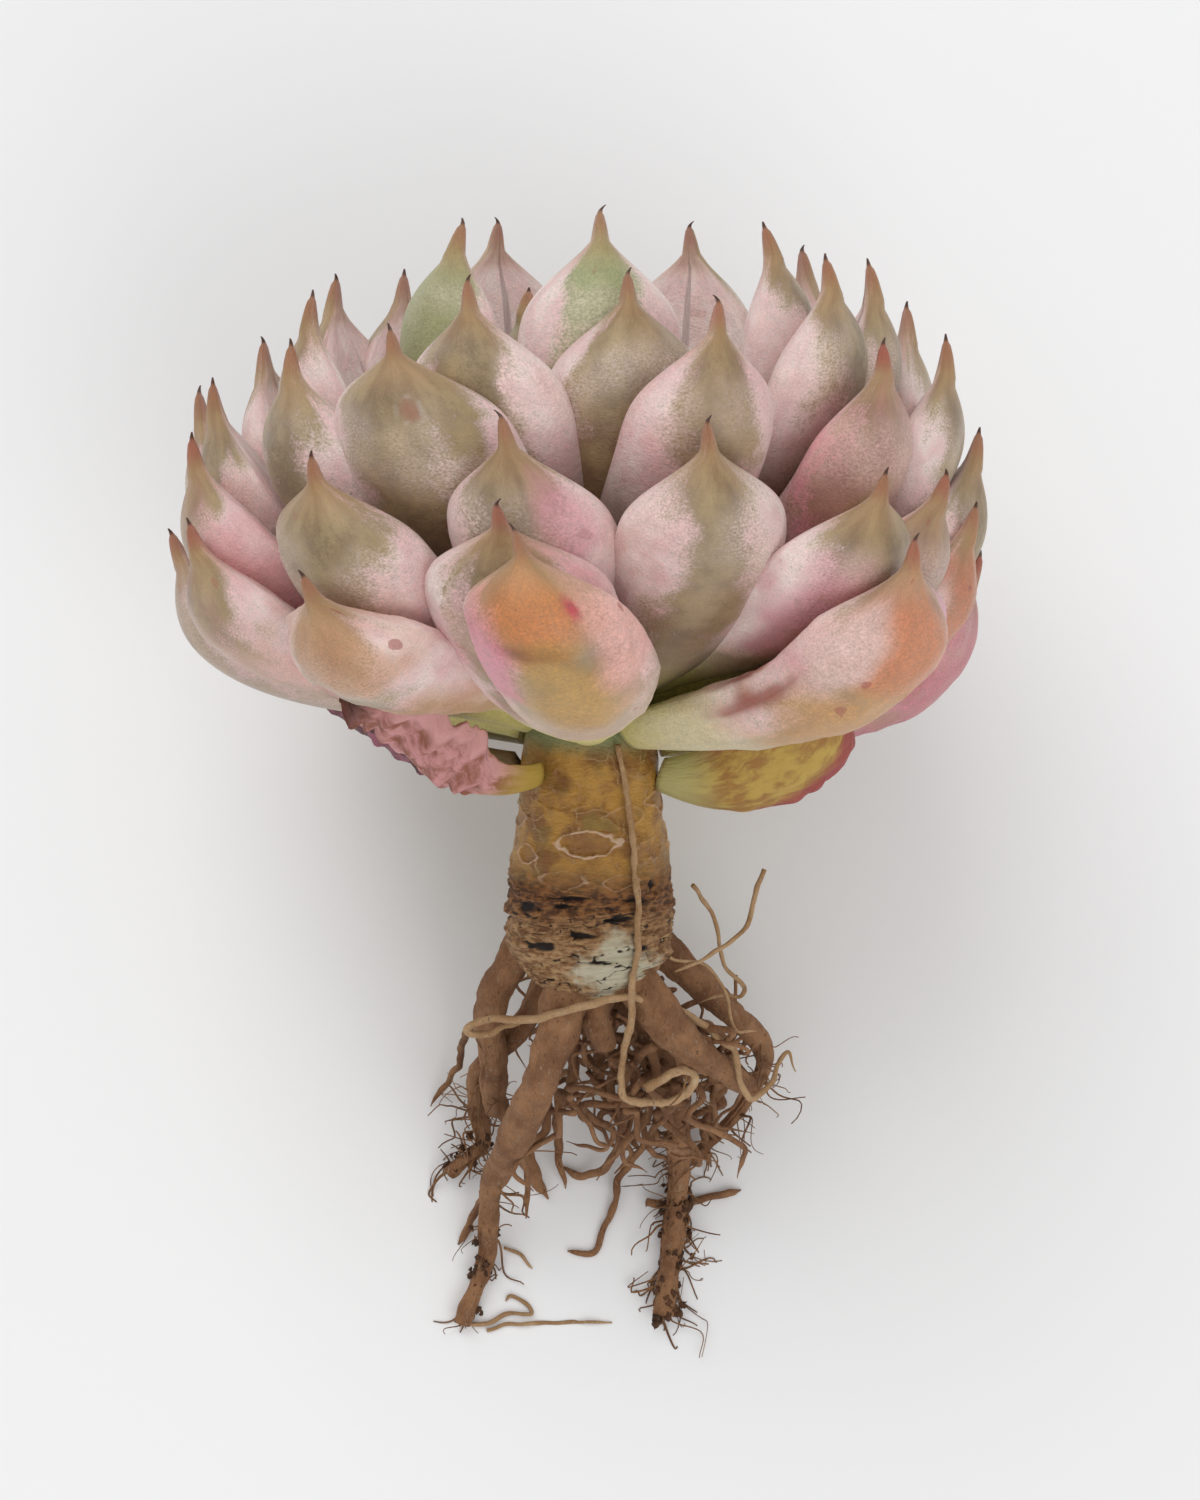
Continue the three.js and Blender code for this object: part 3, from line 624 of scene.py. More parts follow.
def smooth_path(stops, steps):
    """A curve through the stops: cubic pieces whose knots are spaced by the square root of their distance."""
    stops = np.concatenate([[2 * stops[0] - stops[1]], stops, [2 * stops[-1] - stops[-2]]])
    gaps = np.maximum(np.linalg.norm(np.diff(stops[:, :3], axis=0), axis=1) ** 0.5, 1e-3)[:, None]
    slopes = np.diff(stops, axis=0) / gaps
    wide = (stops[2:] - stops[:-2]) / (gaps[1:] + gaps[:-1])
    tangents = slopes[:-1] - wide + slopes[1:]
    place = np.linspace(0, len(stops) - 3 - 1e-9, steps)
    piece = place.astype(int)
    t = (place - piece)[:, None]
    a, b = stops[piece + 1], stops[piece + 2]
    da, db = tangents[piece] * gaps[piece + 1], tangents[piece + 1] * gaps[piece + 1]
    return ((2 * t**3 - 3 * t**2 + 1) * a + (t**3 - 2 * t**2 + t) * da
            + (3 * t**2 - 2 * t**3) * b + (t**3 - t**2) * db)


def root_line(stops, steps):
    """A smooth curve of plant mm, with a radius as its fourth column, through a root's stops."""
    stops = np.asarray(stops, float)
    return smooth_path(np.concatenate([root_places(stops), stops[:, 3:] * ROOT_RADIUS], axis=1), steps)


def tube_rings(paths, radii, sides):
    """Rings round many paths at once, shape (paths, steps, sides, 3). A direction square to the path is
    carried from step to step and straightened, so the rings never twist."""
    ahead = np.gradient(paths, axis=1)
    ahead = ahead / np.maximum(np.linalg.norm(ahead, axis=-1, keepdims=True), 1e-9)
    square = np.cross(ahead[:, 0], [0.31, 0.87, 0.38])
    squares = []
    for step in range(paths.shape[1]):
        square = square - (square * ahead[:, step]).sum(-1, keepdims=True) * ahead[:, step]
        square = square / np.maximum(np.linalg.norm(square, axis=-1, keepdims=True), 1e-9)
        squares.append(square)
    square = np.stack(squares, axis=1)
    third = np.cross(ahead, square)
    turn = np.linspace(0, 2 * np.pi, sides, endpoint=False)
    spokes = square[:, :, None] * np.cos(turn)[:, None] + third[:, :, None] * np.sin(turn)[:, None]
    return paths[:, :, None] + radii[:, :, None, None] * spokes


# %% Grow the main roots
ROOTS = {
    "root_front_left": [[-1.5, -4, -0.1, 0.85], [-4.9, 7, -0.15, 0.83], [-8.7, 18, 0.15, 0.8],
                        [-11.6, 26, 0.6, 0.5], [-12.3, 35, 0.95, 0.46], [-15.2, 43, 1, 0.4]],
    "root_far_left": [[-6.5, -7, 0.05, 0.75], [-11, 1, 0.1, 0.73], [-11.3, 9, 0.3, 0.66],
                      [-11.2, 17, 0.6, 0.5]],
    "root_looped_left": [[-4, -2, 0.2, 0.5], [-8.2, 6, 0.3, 0.5], [-13, 12, 0.5, 0.45],
                         [-13.2, 18, 0.75, 0.42], [-12.6, 22, 0.85, 0.38], [-16.8, 26, 0.95, 0.36]],
    "root_front_right": [[3.5, -5, -0.1, 0.85], [9, 3, -0.15, 0.85], [13.5, 8, 0, 0.7], [18, 12, 0.2, 0.4]],
    "root_long_right": [[2.5, -2, 0.3, 0.6], [8.2, 10, 0.4, 0.65], [10.3, 19, 0.65, 0.58],
                        [10.2, 29, 0.95, 0.5], [8.6, 42, 1, 0.44]],
    "root_far_right": [[6.5, -6, 0.15, 0.65], [14.5, 2, 0.2, 0.6], [20, 9, 0.4, 0.42], [18.2, 17, 0.75, 0.3],
                       [12, 25, 0.97, 0.26]],
}
ROOT_STEPS = 220
ROOT_SIDES = 56
FLARE = 0.35
FLARE_LENGTH = 0.14
around_root = np.arange(ROOT_SIDES) / ROOT_SIDES * 2 * np.pi
along_root = np.linspace(0, 1, ROOT_STEPS)
furrow_places = np.stack(np.broadcast_arrays(
    2.2 * np.cos(around_root), 2.2 * np.sin(around_root), 5.4 * along_root[:, None]), axis=-1)
grooves = 1 - 2 * np.abs(rough_noise(furrow_places, 2, 47))
root_paths = {}
roots = []
for name, stops in ROOTS.items():
    line = root_line(stops, ROOT_STEPS)
    root_paths[name] = line[:, :3]
    thickness = line[:, 3] * (0.92 + FLARE * np.exp(-(along_root / FLARE_LENGTH) ** 2))
    rings = tube_rings(root_paths[name][None], thickness[None], ROOT_SIDES)[0]
    knobs = (rough_noise(rings * 0.22, 2, 41) * 0.35 + rough_noise(rings * [0.9, 0.9, 0.4], 3, 51) * 0.2
             + 0.16 * grooves)
    rings = rings + (knobs * (0.3 + thickness[:, None] / ROOT_RADIUS))[..., None] * outward_normals(rings)
    obj = ring_mesh(name.replace("root_", "woody_root_"), lay_down(rings)[None], {"place": rings[None]})
    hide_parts(name)
    roots.append(obj)
print("main roots:", len(roots))

# %% [markdown]
# ## Fine roots and loose fibres
# Thinner roots hang from the woody ones and end in a tangle of rootlets, and a few dry strands lie over
# the stem's foot. The larger ones have stops of their own. The tangle is grown: each rootlet starts
# somewhere on a main root, sets off in a random direction and wanders with a noise, and the table stops
# its fall. All of them are worked out together as one array.

# %% Side roots
SIDE_ROOTS = [
    [[-12.4, 27, 0.65, 0.16], [-13.6, 30.5, 0.9, 0.17], [-15.6, 34.4, 1, 0.13]],
    [[-11.2, 15, 0.5, 0.4], [-8.4, 20.9, 0.75, 0.37], [-7.2, 24.8, 0.9, 0.34], [-4.9, 29.2, 1, 0.2]],
    [[0.5, -3, -0.05, 0.7], [1, 3, -0.05, 0.68], [1.6, 7, 0, 0.5]],
    [[8.5, 10, 0.3, 0.2], [4.6, 13.6, 0.35, 0.22], [3.9, 18.8, 0.55, 0.2], [2.8, 23.1, 0.75, 0.2],
     [1.2, 25.7, 0.9, 0.19], [-1.1, 26.6, 0.96, 0.17], [-3.4, 25.7, 1, 0.15]],
    [[8, 20, 0.7, 0.16], [3.9, 25.7, 0.9, 0.17], [2, 31.8, 1, 0.15], [0, 35.2, 1, 0.14],
     [-2.6, 35.2, 1, 0.12]],
    [[6.6, 29.2, 0.92, 0.18], [10.4, 30, 1, 0.19], [14.7, 29.2, 1, 0.17], [17.9, 28.3, 1, 0.14]],
    [[16, 8, 0.2, 0.26], [15.6, 11.8, 0.35, 0.25], [14.5, 17, 0.6, 0.24], [13.4, 20.5, 0.8, 0.22],
     [13.9, 26.1, 1, 0.18]],
    [[13.5, 8, 0.1, 0.2], [14.5, 11.8, 0.3, 0.18], [14.4, 18.8, 0.75, 0.14]],
    [[-11, 4, 0.2, 0.2], [-14.5, 8, 0.5, 0.17], [-16, 14, 0.85, 0.15], [-19, 19, 1, 0.12]],
    [[-3, 5, 0.3, 0.3], [-2, 12, 0.5, 0.26], [-4, 20, 0.8, 0.22], [-3, 28, 1, 0.16]],
    [[3, 4, 0.4, 0.35], [1, 11, 0.65, 0.3], [2, 18, 0.9, 0.24], [6, 24, 1, 0.18]],
]


def tube_object(name, stops_list, steps, sides, seed, pinch=0.25):
    """Tubes through lists of stops, with a little knobbly noise and ends that are drawn thin."""
    lines = np.stack([root_line(stops, steps) for stops in stops_list])
    ends = pinch + (1 - pinch) * smooth_step(np.linspace(1, 0, steps), 0, 0.12)
    paths = lines[..., :3] + 0.35 * random_vectors(lines[..., :3] * 0.5, seed)
    rings = tube_rings(paths, lines[..., 3] * ends, sides)
    knobs = rough_noise(rings * 0.8, 2, seed + 5) * 0.18 * lines[..., 3, None]
    rings = rings + knobs[..., None] * outward_normals(rings)
    obj = ring_mesh(name, lay_down(rings), {"place": rings})
    return obj


side_roots = tube_object("side_roots", SIDE_ROOTS, 90, 14, 61)
print("side roots:", len(SIDE_ROOTS), "with", len(side_roots.data.polygons), "faces")

# %% Tangle of rootlets
CURLING_ROOTS = 64
generator = np.random.default_rng(9)
HOST_SHARES = {"root_long_right": 0.45, "root_looped_left": 0.2, "root_front_left": 0.1,
               "root_far_right": 0.15, "root_far_left": 0.05, "root_front_right": 0.05}
CRUMB_SHARES = {"root_long_right": 0.72, "root_looped_left": 0.14, "root_front_left": 0.14}


def curling_stops(count):
    """Random stops inside the tangle: each root drifts past the foot while it wanders sideways and drops."""
    rank = np.linspace(0, 1, 6)
    centre = generator.normal([5.5, 0], [5.5, 0], (count, 2))[:, :1]
    sideways = centre + generator.normal(0, 1.9, (count, 6)) + generator.normal(0, 5, (count, 1)) * rank
    start, length = generator.uniform(-1, 14, (count, 1)), generator.uniform(6, 18, (count, 1))
    past_foot = start + length * rank + generator.normal(0, 0.9, (count, 6))
    drop = generator.uniform(-0.1, 0.5, (count, 1)) + generator.uniform(0.1, 0.7, (count, 1)) * rank
    drop = np.clip(drop + generator.normal(0, 0.06, (count, 6)), -0.12, 1)
    thickness = generator.uniform(0.06, 0.24, (count, 1)) * np.linspace(1, 0.55, 6)
    return np.stack([np.clip(sideways, -9, 19), past_foot, drop, thickness], axis=-1)


curls = tube_object("curling_roots", curling_stops(CURLING_ROOTS), 64, 9, 63)
print("curling roots:", CURLING_ROOTS, "with", len(curls.data.polygons), "faces")

# %% Hair-fine rootlets
ROOTLETS = 300
ROOTLET_STEPS = 16


def rootlet_paths(count, steps):
    """Random rootlets: a start on a main root's curve, a heading, and a wander that grows along the way."""
    host = generator.choice(len(HOST_SHARES), count, p=list(HOST_SHARES.values()))
    spot = (ROOT_STEPS * generator.uniform(0.25, 0.995, count) ** 0.7).astype(int).clip(0, ROOT_STEPS - 1)
    curves = np.stack([root_paths[name] for name in HOST_SHARES])
    start = curves[host, spot]
    heading = generator.normal(0, 1, (count, 3)) + [0, 0.3, -1.3]
    heading = heading / np.linalg.norm(heading, axis=1, keepdims=True)
    length = generator.uniform(2, 7, count) * (1 - 0.5 * (host != 0) * (spot > 0.8 * ROOT_STEPS))
    share = np.linspace(0, 1, steps)
    path = start[:, None] + heading[:, None] * (share * length[:, None])[..., None]
    path = path + random_vectors(path * 0.45, 70) * (3.4 * share)[None, :, None]
    return path + (1.2 * share**2)[:, None] * [0, 1, 0]


def rest_on_table(paths, radii):
    """Moves a path's low points back, square to the stem, until they lie on the table."""
    height = lay_down(paths)[..., 2] / MM - radii
    lift = np.minimum(height, 0) / math.cos(LAY_TILT)
    return paths + lift[..., None] * [0, 1, 0]


rootlets = rootlet_paths(ROOTLETS, ROOTLET_STEPS)
thin = generator.uniform(0.07, 0.2, ROOTLETS)[:, None] * np.linspace(1, 0.45, ROOTLET_STEPS)
rootlets = rest_on_table(rootlets, thin)
rings = tube_rings(rootlets, thin, 5)
tangle = ring_mesh("rootlet_tangle", lay_down(rings), {"place": rings})
print("rootlets:", ROOTLETS, "with", len(tangle.data.polygons), "faces")

# %% Soil crumbs
CRUMBS = 260


def crumb_rings(count):
    """Small lumps: an uneven ball of rings round a point near the end of a root."""
    host = generator.choice(len(CRUMB_SHARES), count, p=list(CRUMB_SHARES.values()))
    curves = np.stack([root_paths[name] for name in CRUMB_SHARES])
    spot = (ROOT_STEPS * generator.uniform(0.72, 0.995, count)).astype(int)
    centre = curves[host, spot] + generator.normal(0, 0.75, (count, 3))
    size = generator.uniform(0.18, 0.5, count)[:, None, None, None]
    latitude, longitude = np.meshgrid(np.linspace(-1.3, 1.3, 5),
                                      np.linspace(0, 2 * np.pi, 7, endpoint=False), indexing="ij")
    ball = np.stack([np.cos(latitude) * np.cos(longitude), np.cos(latitude) * np.sin(longitude),
                     np.sin(latitude)], axis=-1)
    lump = ball * (1 + 0.3 * generator.normal(0, 1, (count,) + latitude.shape))[..., None]
    rings = centre[:, None, None] + size * lump
    low = np.minimum(lay_down(rings)[..., 2].min(axis=(1, 2)) / MM, 0) / math.cos(LAY_TILT)
    return rings + low[:, None, None, None] * [0, 1, 0]


rings = crumb_rings(CRUMBS)
crumbs = ring_mesh("soil_crumbs", lay_down(rings), {"place": rings})
print("soil crumbs:", CRUMBS, "with", len(crumbs.data.polygons), "faces")

# %% Dry strands
STRAND_STEPS = 150
STRAND_GAP = 0.75
STEM_STRAND = np.array([[2.9, 3], [4.1, -2.7], [4.8, -8.3], [5.1, -14], [5.3, -19], [4.9, -23.5]])
strand_back = -np.sqrt((stem_radius(STEM_STRAND[:, 1]) + STRAND_GAP) ** 2 - STEM_STRAND[:, 0] ** 2)
on_stem = np.stack([STEM_STRAND[:, 0], strand_back, STEM_STRAND[:, 1]], axis=-1)
hanging = root_places([
    [4.3, 3, -0.2, 0.2], [3.4, 8.6, -0.15, 0.2], [3.9, 11.3, -0.12, 0.2], [6.9, 12, -0.1, 0.2],
    [10, 11.7, -0.08, 0.2], [11.7, 9, -0.1, 0.2], [10.2, 8.2, -0.13, 0.2], [6.3, 10.2, -0.16, 0.2],
])
long_strand = smooth_path(np.concatenate([on_stem, hanging]), STRAND_STEPS)
STRANDS = [
    [[-6.8, 2, -0.1, 0.13], [-9.7, 3.4, -0.1, 0.15], [-12.4, 4.5, -0.08, 0.16], [-13.9, 3.4, -0.08, 0.17],
     [-12, 2.3, -0.1, 0.17], [-8.2, 2, -0.16, 0.17], [-3.7, 0.7, -0.24, 0.17], [1.6, -1, -0.25, 0.17],
     [4.5, -1, -0.22, 0.17], [8.4, -0.1, -0.15, 0.17], [12.4, 3, -0.05, 0.16], [15.8, 6.3, 0, 0.15],
     [17, 10, 0.02, 0.15], [18.5, 12.6, 0.05, 0.14], [20.3, 11.3, 0.08, 0.13], [22.6, 7.6, 0.1, 0.11],
     [23.7, 9.7, 0.12, 0.07]],
    [[11.5, -13, -0.05, 0.1], [13.3, -10, 0, 0.1], [14.3, -7, 0, 0.1], [15.3, -3, 0, 0.1],
     [17.5, -0.2, 0.02, 0.1], [17.2, 0.8, 0.03, 0.09], [14.4, 0.6, 0.03, 0.08], [12.3, 1.5, 0.04, 0.06]],
    [[19.5, -14, 0.05, 0.1], [18.4, -11, 0.03, 0.11], [17.5, -7.8, 0, 0.11], [15, -5.5, -0.03, 0.1],
     [12.2, -4, -0.06, 0.09], [9.6, -3.2, -0.1, 0.08]],
    [[9, -5, -0.1, 0.08], [13.4, -3, -0.02, 0.08], [15.4, 0.2, 0, 0.08], [16.8, 4.3, 0, 0.07],
     [18.8, 4.7, 0.02, 0.05]],
    [[-15.6, 43.1, 0.985, 0.1], [-12.4, 43.1, 0.985, 0.11], [-9.4, 42, 0.985, 0.1], [-7, 41.8, 0.985, 0.1],
     [-7.4, 41, 0.985, 0.1], [-9.4, 40, 0.985, 0.09], [-9.9, 40.6, 0.985, 0.07]],
    [[-12.4, 43.9, 1, 0.08], [-8.5, 43.2, 1, 0.09], [-4.7, 42.9, 1, 0.09], [-0.7, 43.2, 1, 0.08],
     [2.3, 43.2, 1, 0.06]],
    [[-10.5, 34.8, 1, 0.08], [-8.5, 35.7, 1, 0.08], [-7, 37.1, 1, 0.06]],
]
strands = tube_object("loose_strands", STRANDS, 120, 8, 91, 0.4)
wave = 0.25 * random_vectors(long_strand * 0.35, 95)
rings = tube_rings((long_strand + wave)[None], np.linspace(0.3, 0.52, STRAND_STEPS)[None], 12)
fibres = rough_noise(rings * [1.6, 1.6, 0.9], 2, 97) * 0.14
rings = rings + fibres[..., None] * outward_normals(rings)
stem_strand = ring_mesh("stem_strand", lay_down(rings), {"place": rings})
print("strands:", len(STRANDS) + 1)

# %% [markdown]
# ## Writing materials as expressions
# A shader is arithmetic on values that vary over the surface. Joining Math nodes by hand hides that, so a
# small class wraps a node's output and lets + - * and the rest add the nodes. Everything else comes from
# one method: it takes the node's type, its settings, and what goes into its sockets.

# %% Shader arithmetic
class Finish:
    """A material being written. node() adds one node: its settings, then what goes into its sockets."""

    def __init__(self, name, **constants):
        self.material = bpy.data.materials.new(name)
        self.material.use_nodes = True
        self.tree = self.material.node_tree
        self.surface = self.tree.nodes["Principled BSDF"]
        self.fill(self.surface, {key.replace("_", " "): value for key, value in constants.items()})

    def fill(self, node, sockets):
        for key, value in sockets.items():
            if isinstance(value, Wire):
                self.tree.links.new(value.socket, node.inputs[key])
            else:
                node.inputs[key].default_value = value

    def node(self, kind, settings, sockets, output=0):
        made = self.tree.nodes.new(kind)
        for key, value in settings.items():
            setattr(made, key, value)
        self.fill(made, sockets)
        return Wire(self, made.outputs[output])

    def coated(self, skin, roughness, height, depth):
        """The finished material: a colour, a roughness, and a height that disturbs the surface's normal."""
        normal = self.node("ShaderNodeBump", {}, {"Height": height, "Distance": depth, "Strength": 1.0})
        self.fill(self.surface, {"Base Color": skin, "Roughness": roughness, "Normal": normal})
        return self.material


class Wire:
    """A node's output. Operators on it add Math nodes, in either order: 1 - wire works too."""

    def __init__(self, finish, socket):
        self.finish, self.socket = finish, socket

    def math(self, operation, *others):
        return self.finish.node("ShaderNodeMath", dict(operation=operation),
                                dict(enumerate((self,) + others)))

    def __add__(self, other):
        return self.math("ADD", other)

    def __mul__(self, other):
        return self.math("MULTIPLY", other)

    def __sub__(self, other):
        return self.math("SUBTRACT", other)

    def __rsub__(self, other):
        return self.math("MULTIPLY_ADD", -1, other)

    def __abs__(self):
        return self.math("ABSOLUTE")

    __radd__, __rmul__ = __add__, __mul__

    def step(self, low, high):
        """0 at low, 1 at high and a smooth S between; low may be above high."""
        return self.finish.node("ShaderNodeMapRange", dict(interpolation_type="SMOOTHSTEP"),
                                {"Value": self, "From Min": low, "From Max": high})


def mixed(finish, share, first, second):
    """first where share is 0 and second where it is 1."""
    return finish.node("ShaderNodeMix", dict(data_type="RGBA", clamp_factor=True),
                       {0: share, 6: first, 7: second}, output=2)


def layered(finish, base, *coats):
    """Coats laid over a base in turn, each given as the share that it covers and its colour."""
    for share, tone in coats:
        base = mixed(finish, share, base, tone)
    return base


def carried(finish, name):
    """A vector that the points carry as an attribute."""
    return finish.node("ShaderNodeAttribute", dict(attribute_name=name), {}, output=1)


def axes(finish, vector):
    """The three numbers of a vector."""
    split = finish.node("ShaderNodeSeparateXYZ", {}, {0: vector})
    return [Wire(finish, output) for output in split.socket.node.outputs]


def stretched(finish, vector, scale, shift=(0, 0, 0)):
    """A vector times a scale plus a shift, axis by axis."""
    return finish.node("ShaderNodeVectorMath", dict(operation="MULTIPLY_ADD"),
                       {0: vector, 1: scale, 2: shift})


def grain(finish, vector, scale, detail, roughness=0.55):
    """Fractal noise from 0 to 1, about 0.5 in the middle."""
    return finish.node("ShaderNodeTexNoise", {},
                       {"Vector": vector, "Scale": scale, "Detail": detail, "Roughness": roughness})


def wear(obj, material):
    """Gives an object one material, in place of any that it had."""
    obj.data.materials.clear()
    obj.data.materials.append(material)


# %% [markdown]
# ## Leaf skin
# The leaves are variegated: the thick margins have no green in them and are cream to pink, and the middle
# of the outer face is olive-brown, broken into lengthwise streaks and grains. The foot pales to green-
# cream and the tip runs through tan and red to a dark dry spine. On the upper leaves the lower part is
# darkened to brown as painted shade, deep between their neighbours. Over it all lies a fine waxy bloom
# that catches the light; a paler crown on the shoulders is partly the bloom's own colour and partly a
# painted highlight. All of this follows the leaf, so the shader reads the mm round and along the leaf
# that the points carry.

# %% Leaf material
def leaf_finish(name):
    finish = Finish(name, Subsurface_Weight=0.1, Subsurface_Scale=0.002, Subsurface_Radius=(1.0, 0.6, 0.5),
                    Sheen_Weight=0.12, Sheen_Roughness=0.4, Coat_Weight=0.12, Coat_Roughness=0.3)
    place, shape, mood, cover = (carried(finish, key) for key in ("place", "shape", "mood", "cover"))
    across, along, outer = axes(finish, shape)
    age, olive, blush = axes(finish, mood)
    patch, green, shade = axes(finish, cover)
    broad = grain(finish, stretched(finish, place, (0.11, 0.07, 1)), 1.0, 2.0)
    cloud = grain(finish, stretched(finish, place, (0.35, 0.22, 1)), 1.0, 3.0)
    fine = grain(finish, stretched(finish, place, (1.2, 0.9, 1)), 1.0, 4.0, 0.65)
    speck = grain(finish, stretched(finish, place, (4.5, 4.5, 1)), 1.0, 2.0, 0.6)
    spots = grain(finish, stretched(finish, place, (0.5, 0.45, 1), (5, 5, 5)), 1.0, 0.0)
    dither = 0.5 * (fine - 0.5) + 0.8 * (speck - 0.5)

    margin = abs(across + 1.5 * (broad - 0.5)) + (cloud - 0.5) + 0.6 * dither
    half_width = 0.45 + 0.45 * olive + 0.5 * along.step(0.78, 0.95)
    middle = (half_width - margin).step(-0.22, 0.26)
    dark = middle * (along.step(0.2, 0.5) * outer.step(-0.55, 0.1))
    # A pale crown on the shoulders: partly the waxy bloom's own colour, partly a painted highlight.
    bloom_and_highlight = along.step(0.62, 0.76) * (along.step(0.9, 0.82) * broad.step(0.4, 0.6))
    flush = blush * (broad.step(0.35, 0.65) * along.step(0.2, 0.6))

    cream_to_rose = mixed(finish, (cloud + dither * 0.5).step(0.3, 0.7), colour(243, 226, 220),
                          colour(226, 190, 187))
    olive_tone = mixed(finish, (cloud + dither).step(0.25, 0.75), colour(162, 138, 90), colour(102, 84, 42))
    olive_tone = mixed(finish, green, olive_tone, colour(150, 160, 104))
    skin = layered(
        finish, cream_to_rose,
        (along.step(0.5, 0.15), colour(212, 202, 126)),
        (dark * 0.92, olive_tone),
        # Painted highlight on the shoulders, partly the bloom's own pale colour.
        (bloom_and_highlight * (0.9 * speck - 0.1), colour(236, 220, 206)),
        # Painted shade: the lower part of the upper leaves, deep between their neighbours, darkened to brown.
        (along.step(0.74, 0.3) * shade * 0.85, colour(104, 76, 40)),
        (flush * (1 - 0.6 * dark), colour(212, 132, 140)),
        (patch * (0.92 + 0.5 * dither), carried(finish, "tint")),
        (along.step(0.86, 0.96) * 0.6, colour(188, 146, 98)),
        (along.step(0.94, 0.985) * (0.35 + 0.6 * blush), colour(178, 98, 80)),
        (along.step(0.999, 1.008), colour(84, 52, 34)),
        (spots.step(0.8, 0.84) * (0.25 + 0.6 * age), colour(160, 76, 66)))
    frost = (speck - 0.5) * 0.85 + (fine - 0.5) * 0.45 + 1
    skin = finish.node("ShaderNodeVectorMath", dict(operation="SCALE"), {0: skin, "Scale": frost})
    return finish.coated(skin, 0.3 + 0.35 * fine, speck * 0.6 + fine, 0.00015)


LEAF_SKIN = leaf_finish("variegated_leaf_skin")
for obj in rosette + [heart]:
    wear(obj, LEAF_SKIN)
print("leaf skin nodes:", len(LEAF_SKIN.node_tree.nodes))

# %% [markdown]
# ## Dry leaf, bark and root
# The shrivelled leaves are brown, mottled by a fibrous noise with patches of pink to purple. The stem goes
# from a translucent amber skin, through dark brown, to cracked bark with a chalky patch. The roots are tan
# to brown, pale on the high points of their grain, partly soil dust and partly painted highlight, and dark
# in its low points as painted crevice shade.

# %% Dry leaf material
def dry_leaf_finish(name, patch_tone, ground_tone, foot, rim):
    finish = Finish(name, Subsurface_Weight=0.1, Subsurface_Scale=0.002)
    place, shape = carried(finish, "place"), carried(finish, "shape")
    across, along, _ = axes(finish, shape)
    fibres = grain(finish, stretched(finish, place, (1.1, 0.25, 1)), 1.0, 5.0, 0.65)
    cloud = grain(finish, stretched(finish, place, (0.3, 0.2, 1)), 1.0, 3.0)
    edge = (abs(across) + 0.6 * along + 0.5 * (cloud - 0.5)).step(0.85, 1.15)
    skin = layered(
        finish, ground_tone,
        # The second tone lies in patches of a fibrous noise; it does not follow the folds.
        ((fibres * 0.6 + cloud * 0.4).step(0.42, 0.58), patch_tone),
        (edge * 0.85, rim),
        (along.step(0.3, 0.05), foot),
        (along.step(0.84, 0.97), colour(84, 46, 34)))
    return finish.coated(skin, 0.5 + 0.3 * fibres, fibres, 0.0004)


DRY_TONES = [
    (colour(206, 146, 146), colour(142, 84, 62), colour(184, 154, 70), colour(216, 160, 160)),
    (colour(150, 88, 104), colour(84, 46, 48), colour(126, 104, 70), colour(170, 110, 130)),
    (colour(190, 158, 76), colour(158, 112, 52), colour(188, 180, 120), colour(150, 38, 62)),
]
for number, (obj, tones) in enumerate(zip(withered, DRY_TONES), 1):
    wear(obj, dry_leaf_finish(f"dry_leaf_{number}", *tones))


# %% Stem material
def stem_finish(name):
    finish = Finish(name, Subsurface_Weight=0.1, Subsurface_Scale=0.002)
    place, marked = carried(finish, "place"), carried(finish, "marks")
    sideways, back, height = axes(finish, place)
    rim, slit, scar = axes(finish, marked)
    broad = grain(finish, place, 0.16, 2.0)
    cloud = grain(finish, place, 0.4, 4.0, 0.6)
    fine = grain(finish, stretched(finish, place, (1, 1, 2.2)), 0.9, 5.0, 0.65)
    wobble = finish.node("ShaderNodeTexNoise", {}, {"Vector": place, "Scale": 0.4, "Detail": 3.0}, output=1)
    veins = finish.node("ShaderNodeTexVoronoi", dict(feature="DISTANCE_TO_EDGE"),
                        {"Vector": stretched(finish, wobble, (3, 3, 3), place), "Scale": 0.3})
    browned = (height + 5 * (cloud - 0.5)).step(-9.5, -14.5)
    barked = (height + 4 * (cloud - 0.5)).step(-14.5, -19)
    chalk = (abs(sideways - 2.5) + 0.9 * abs(height + 22.5) + 8 * (cloud - 0.5)).step(5.5, 3)
    brown = mixed(finish, fine.step(0.42, 0.6), colour(74, 42, 18), colour(140, 92, 48))
    bark = mixed(finish, fine.step(0.38, 0.62), colour(116, 76, 40), colour(176, 140, 98))
    bark = mixed(finish, chalk * back.step(0, -3) * 0.85, bark, colour(196, 190, 166))
    skin = layered(
        finish, colour(188, 140, 60),
        ((cloud * 0.6 + broad * 0.4).step(0.4, 0.6), colour(134, 88, 34)),
        (grain(finish, place, 0.27, 2.0).step(0.52, 0.68) * 0.7, colour(140, 116, 56)),
        (veins.step(0.05, 0.0) * (cloud.step(0.45, 0.65) * 0.45), colour(214, 186, 140)),
        (fine.step(0.6, 0.75) * 0.5, colour(120, 66, 40)),
        (browned, brown),
        (barked, bark),
        (scar * 0.6, colour(150, 104, 60)),
        (rim.step(0.2, 0.8) * (0.4 + 0.8 * fine), colour(214, 184, 160)),
        (slit.step(0.3, 0.75), colour(30, 20, 14)),
        (height.step(1, 4), colour(150, 158, 112)))
    return finish.coated(skin, 0.36 + 0.35 * browned + 0.1 * fine, fine + cloud * 0.5, 0.0004)


wear(stem, stem_finish("stem_skin_and_bark"))


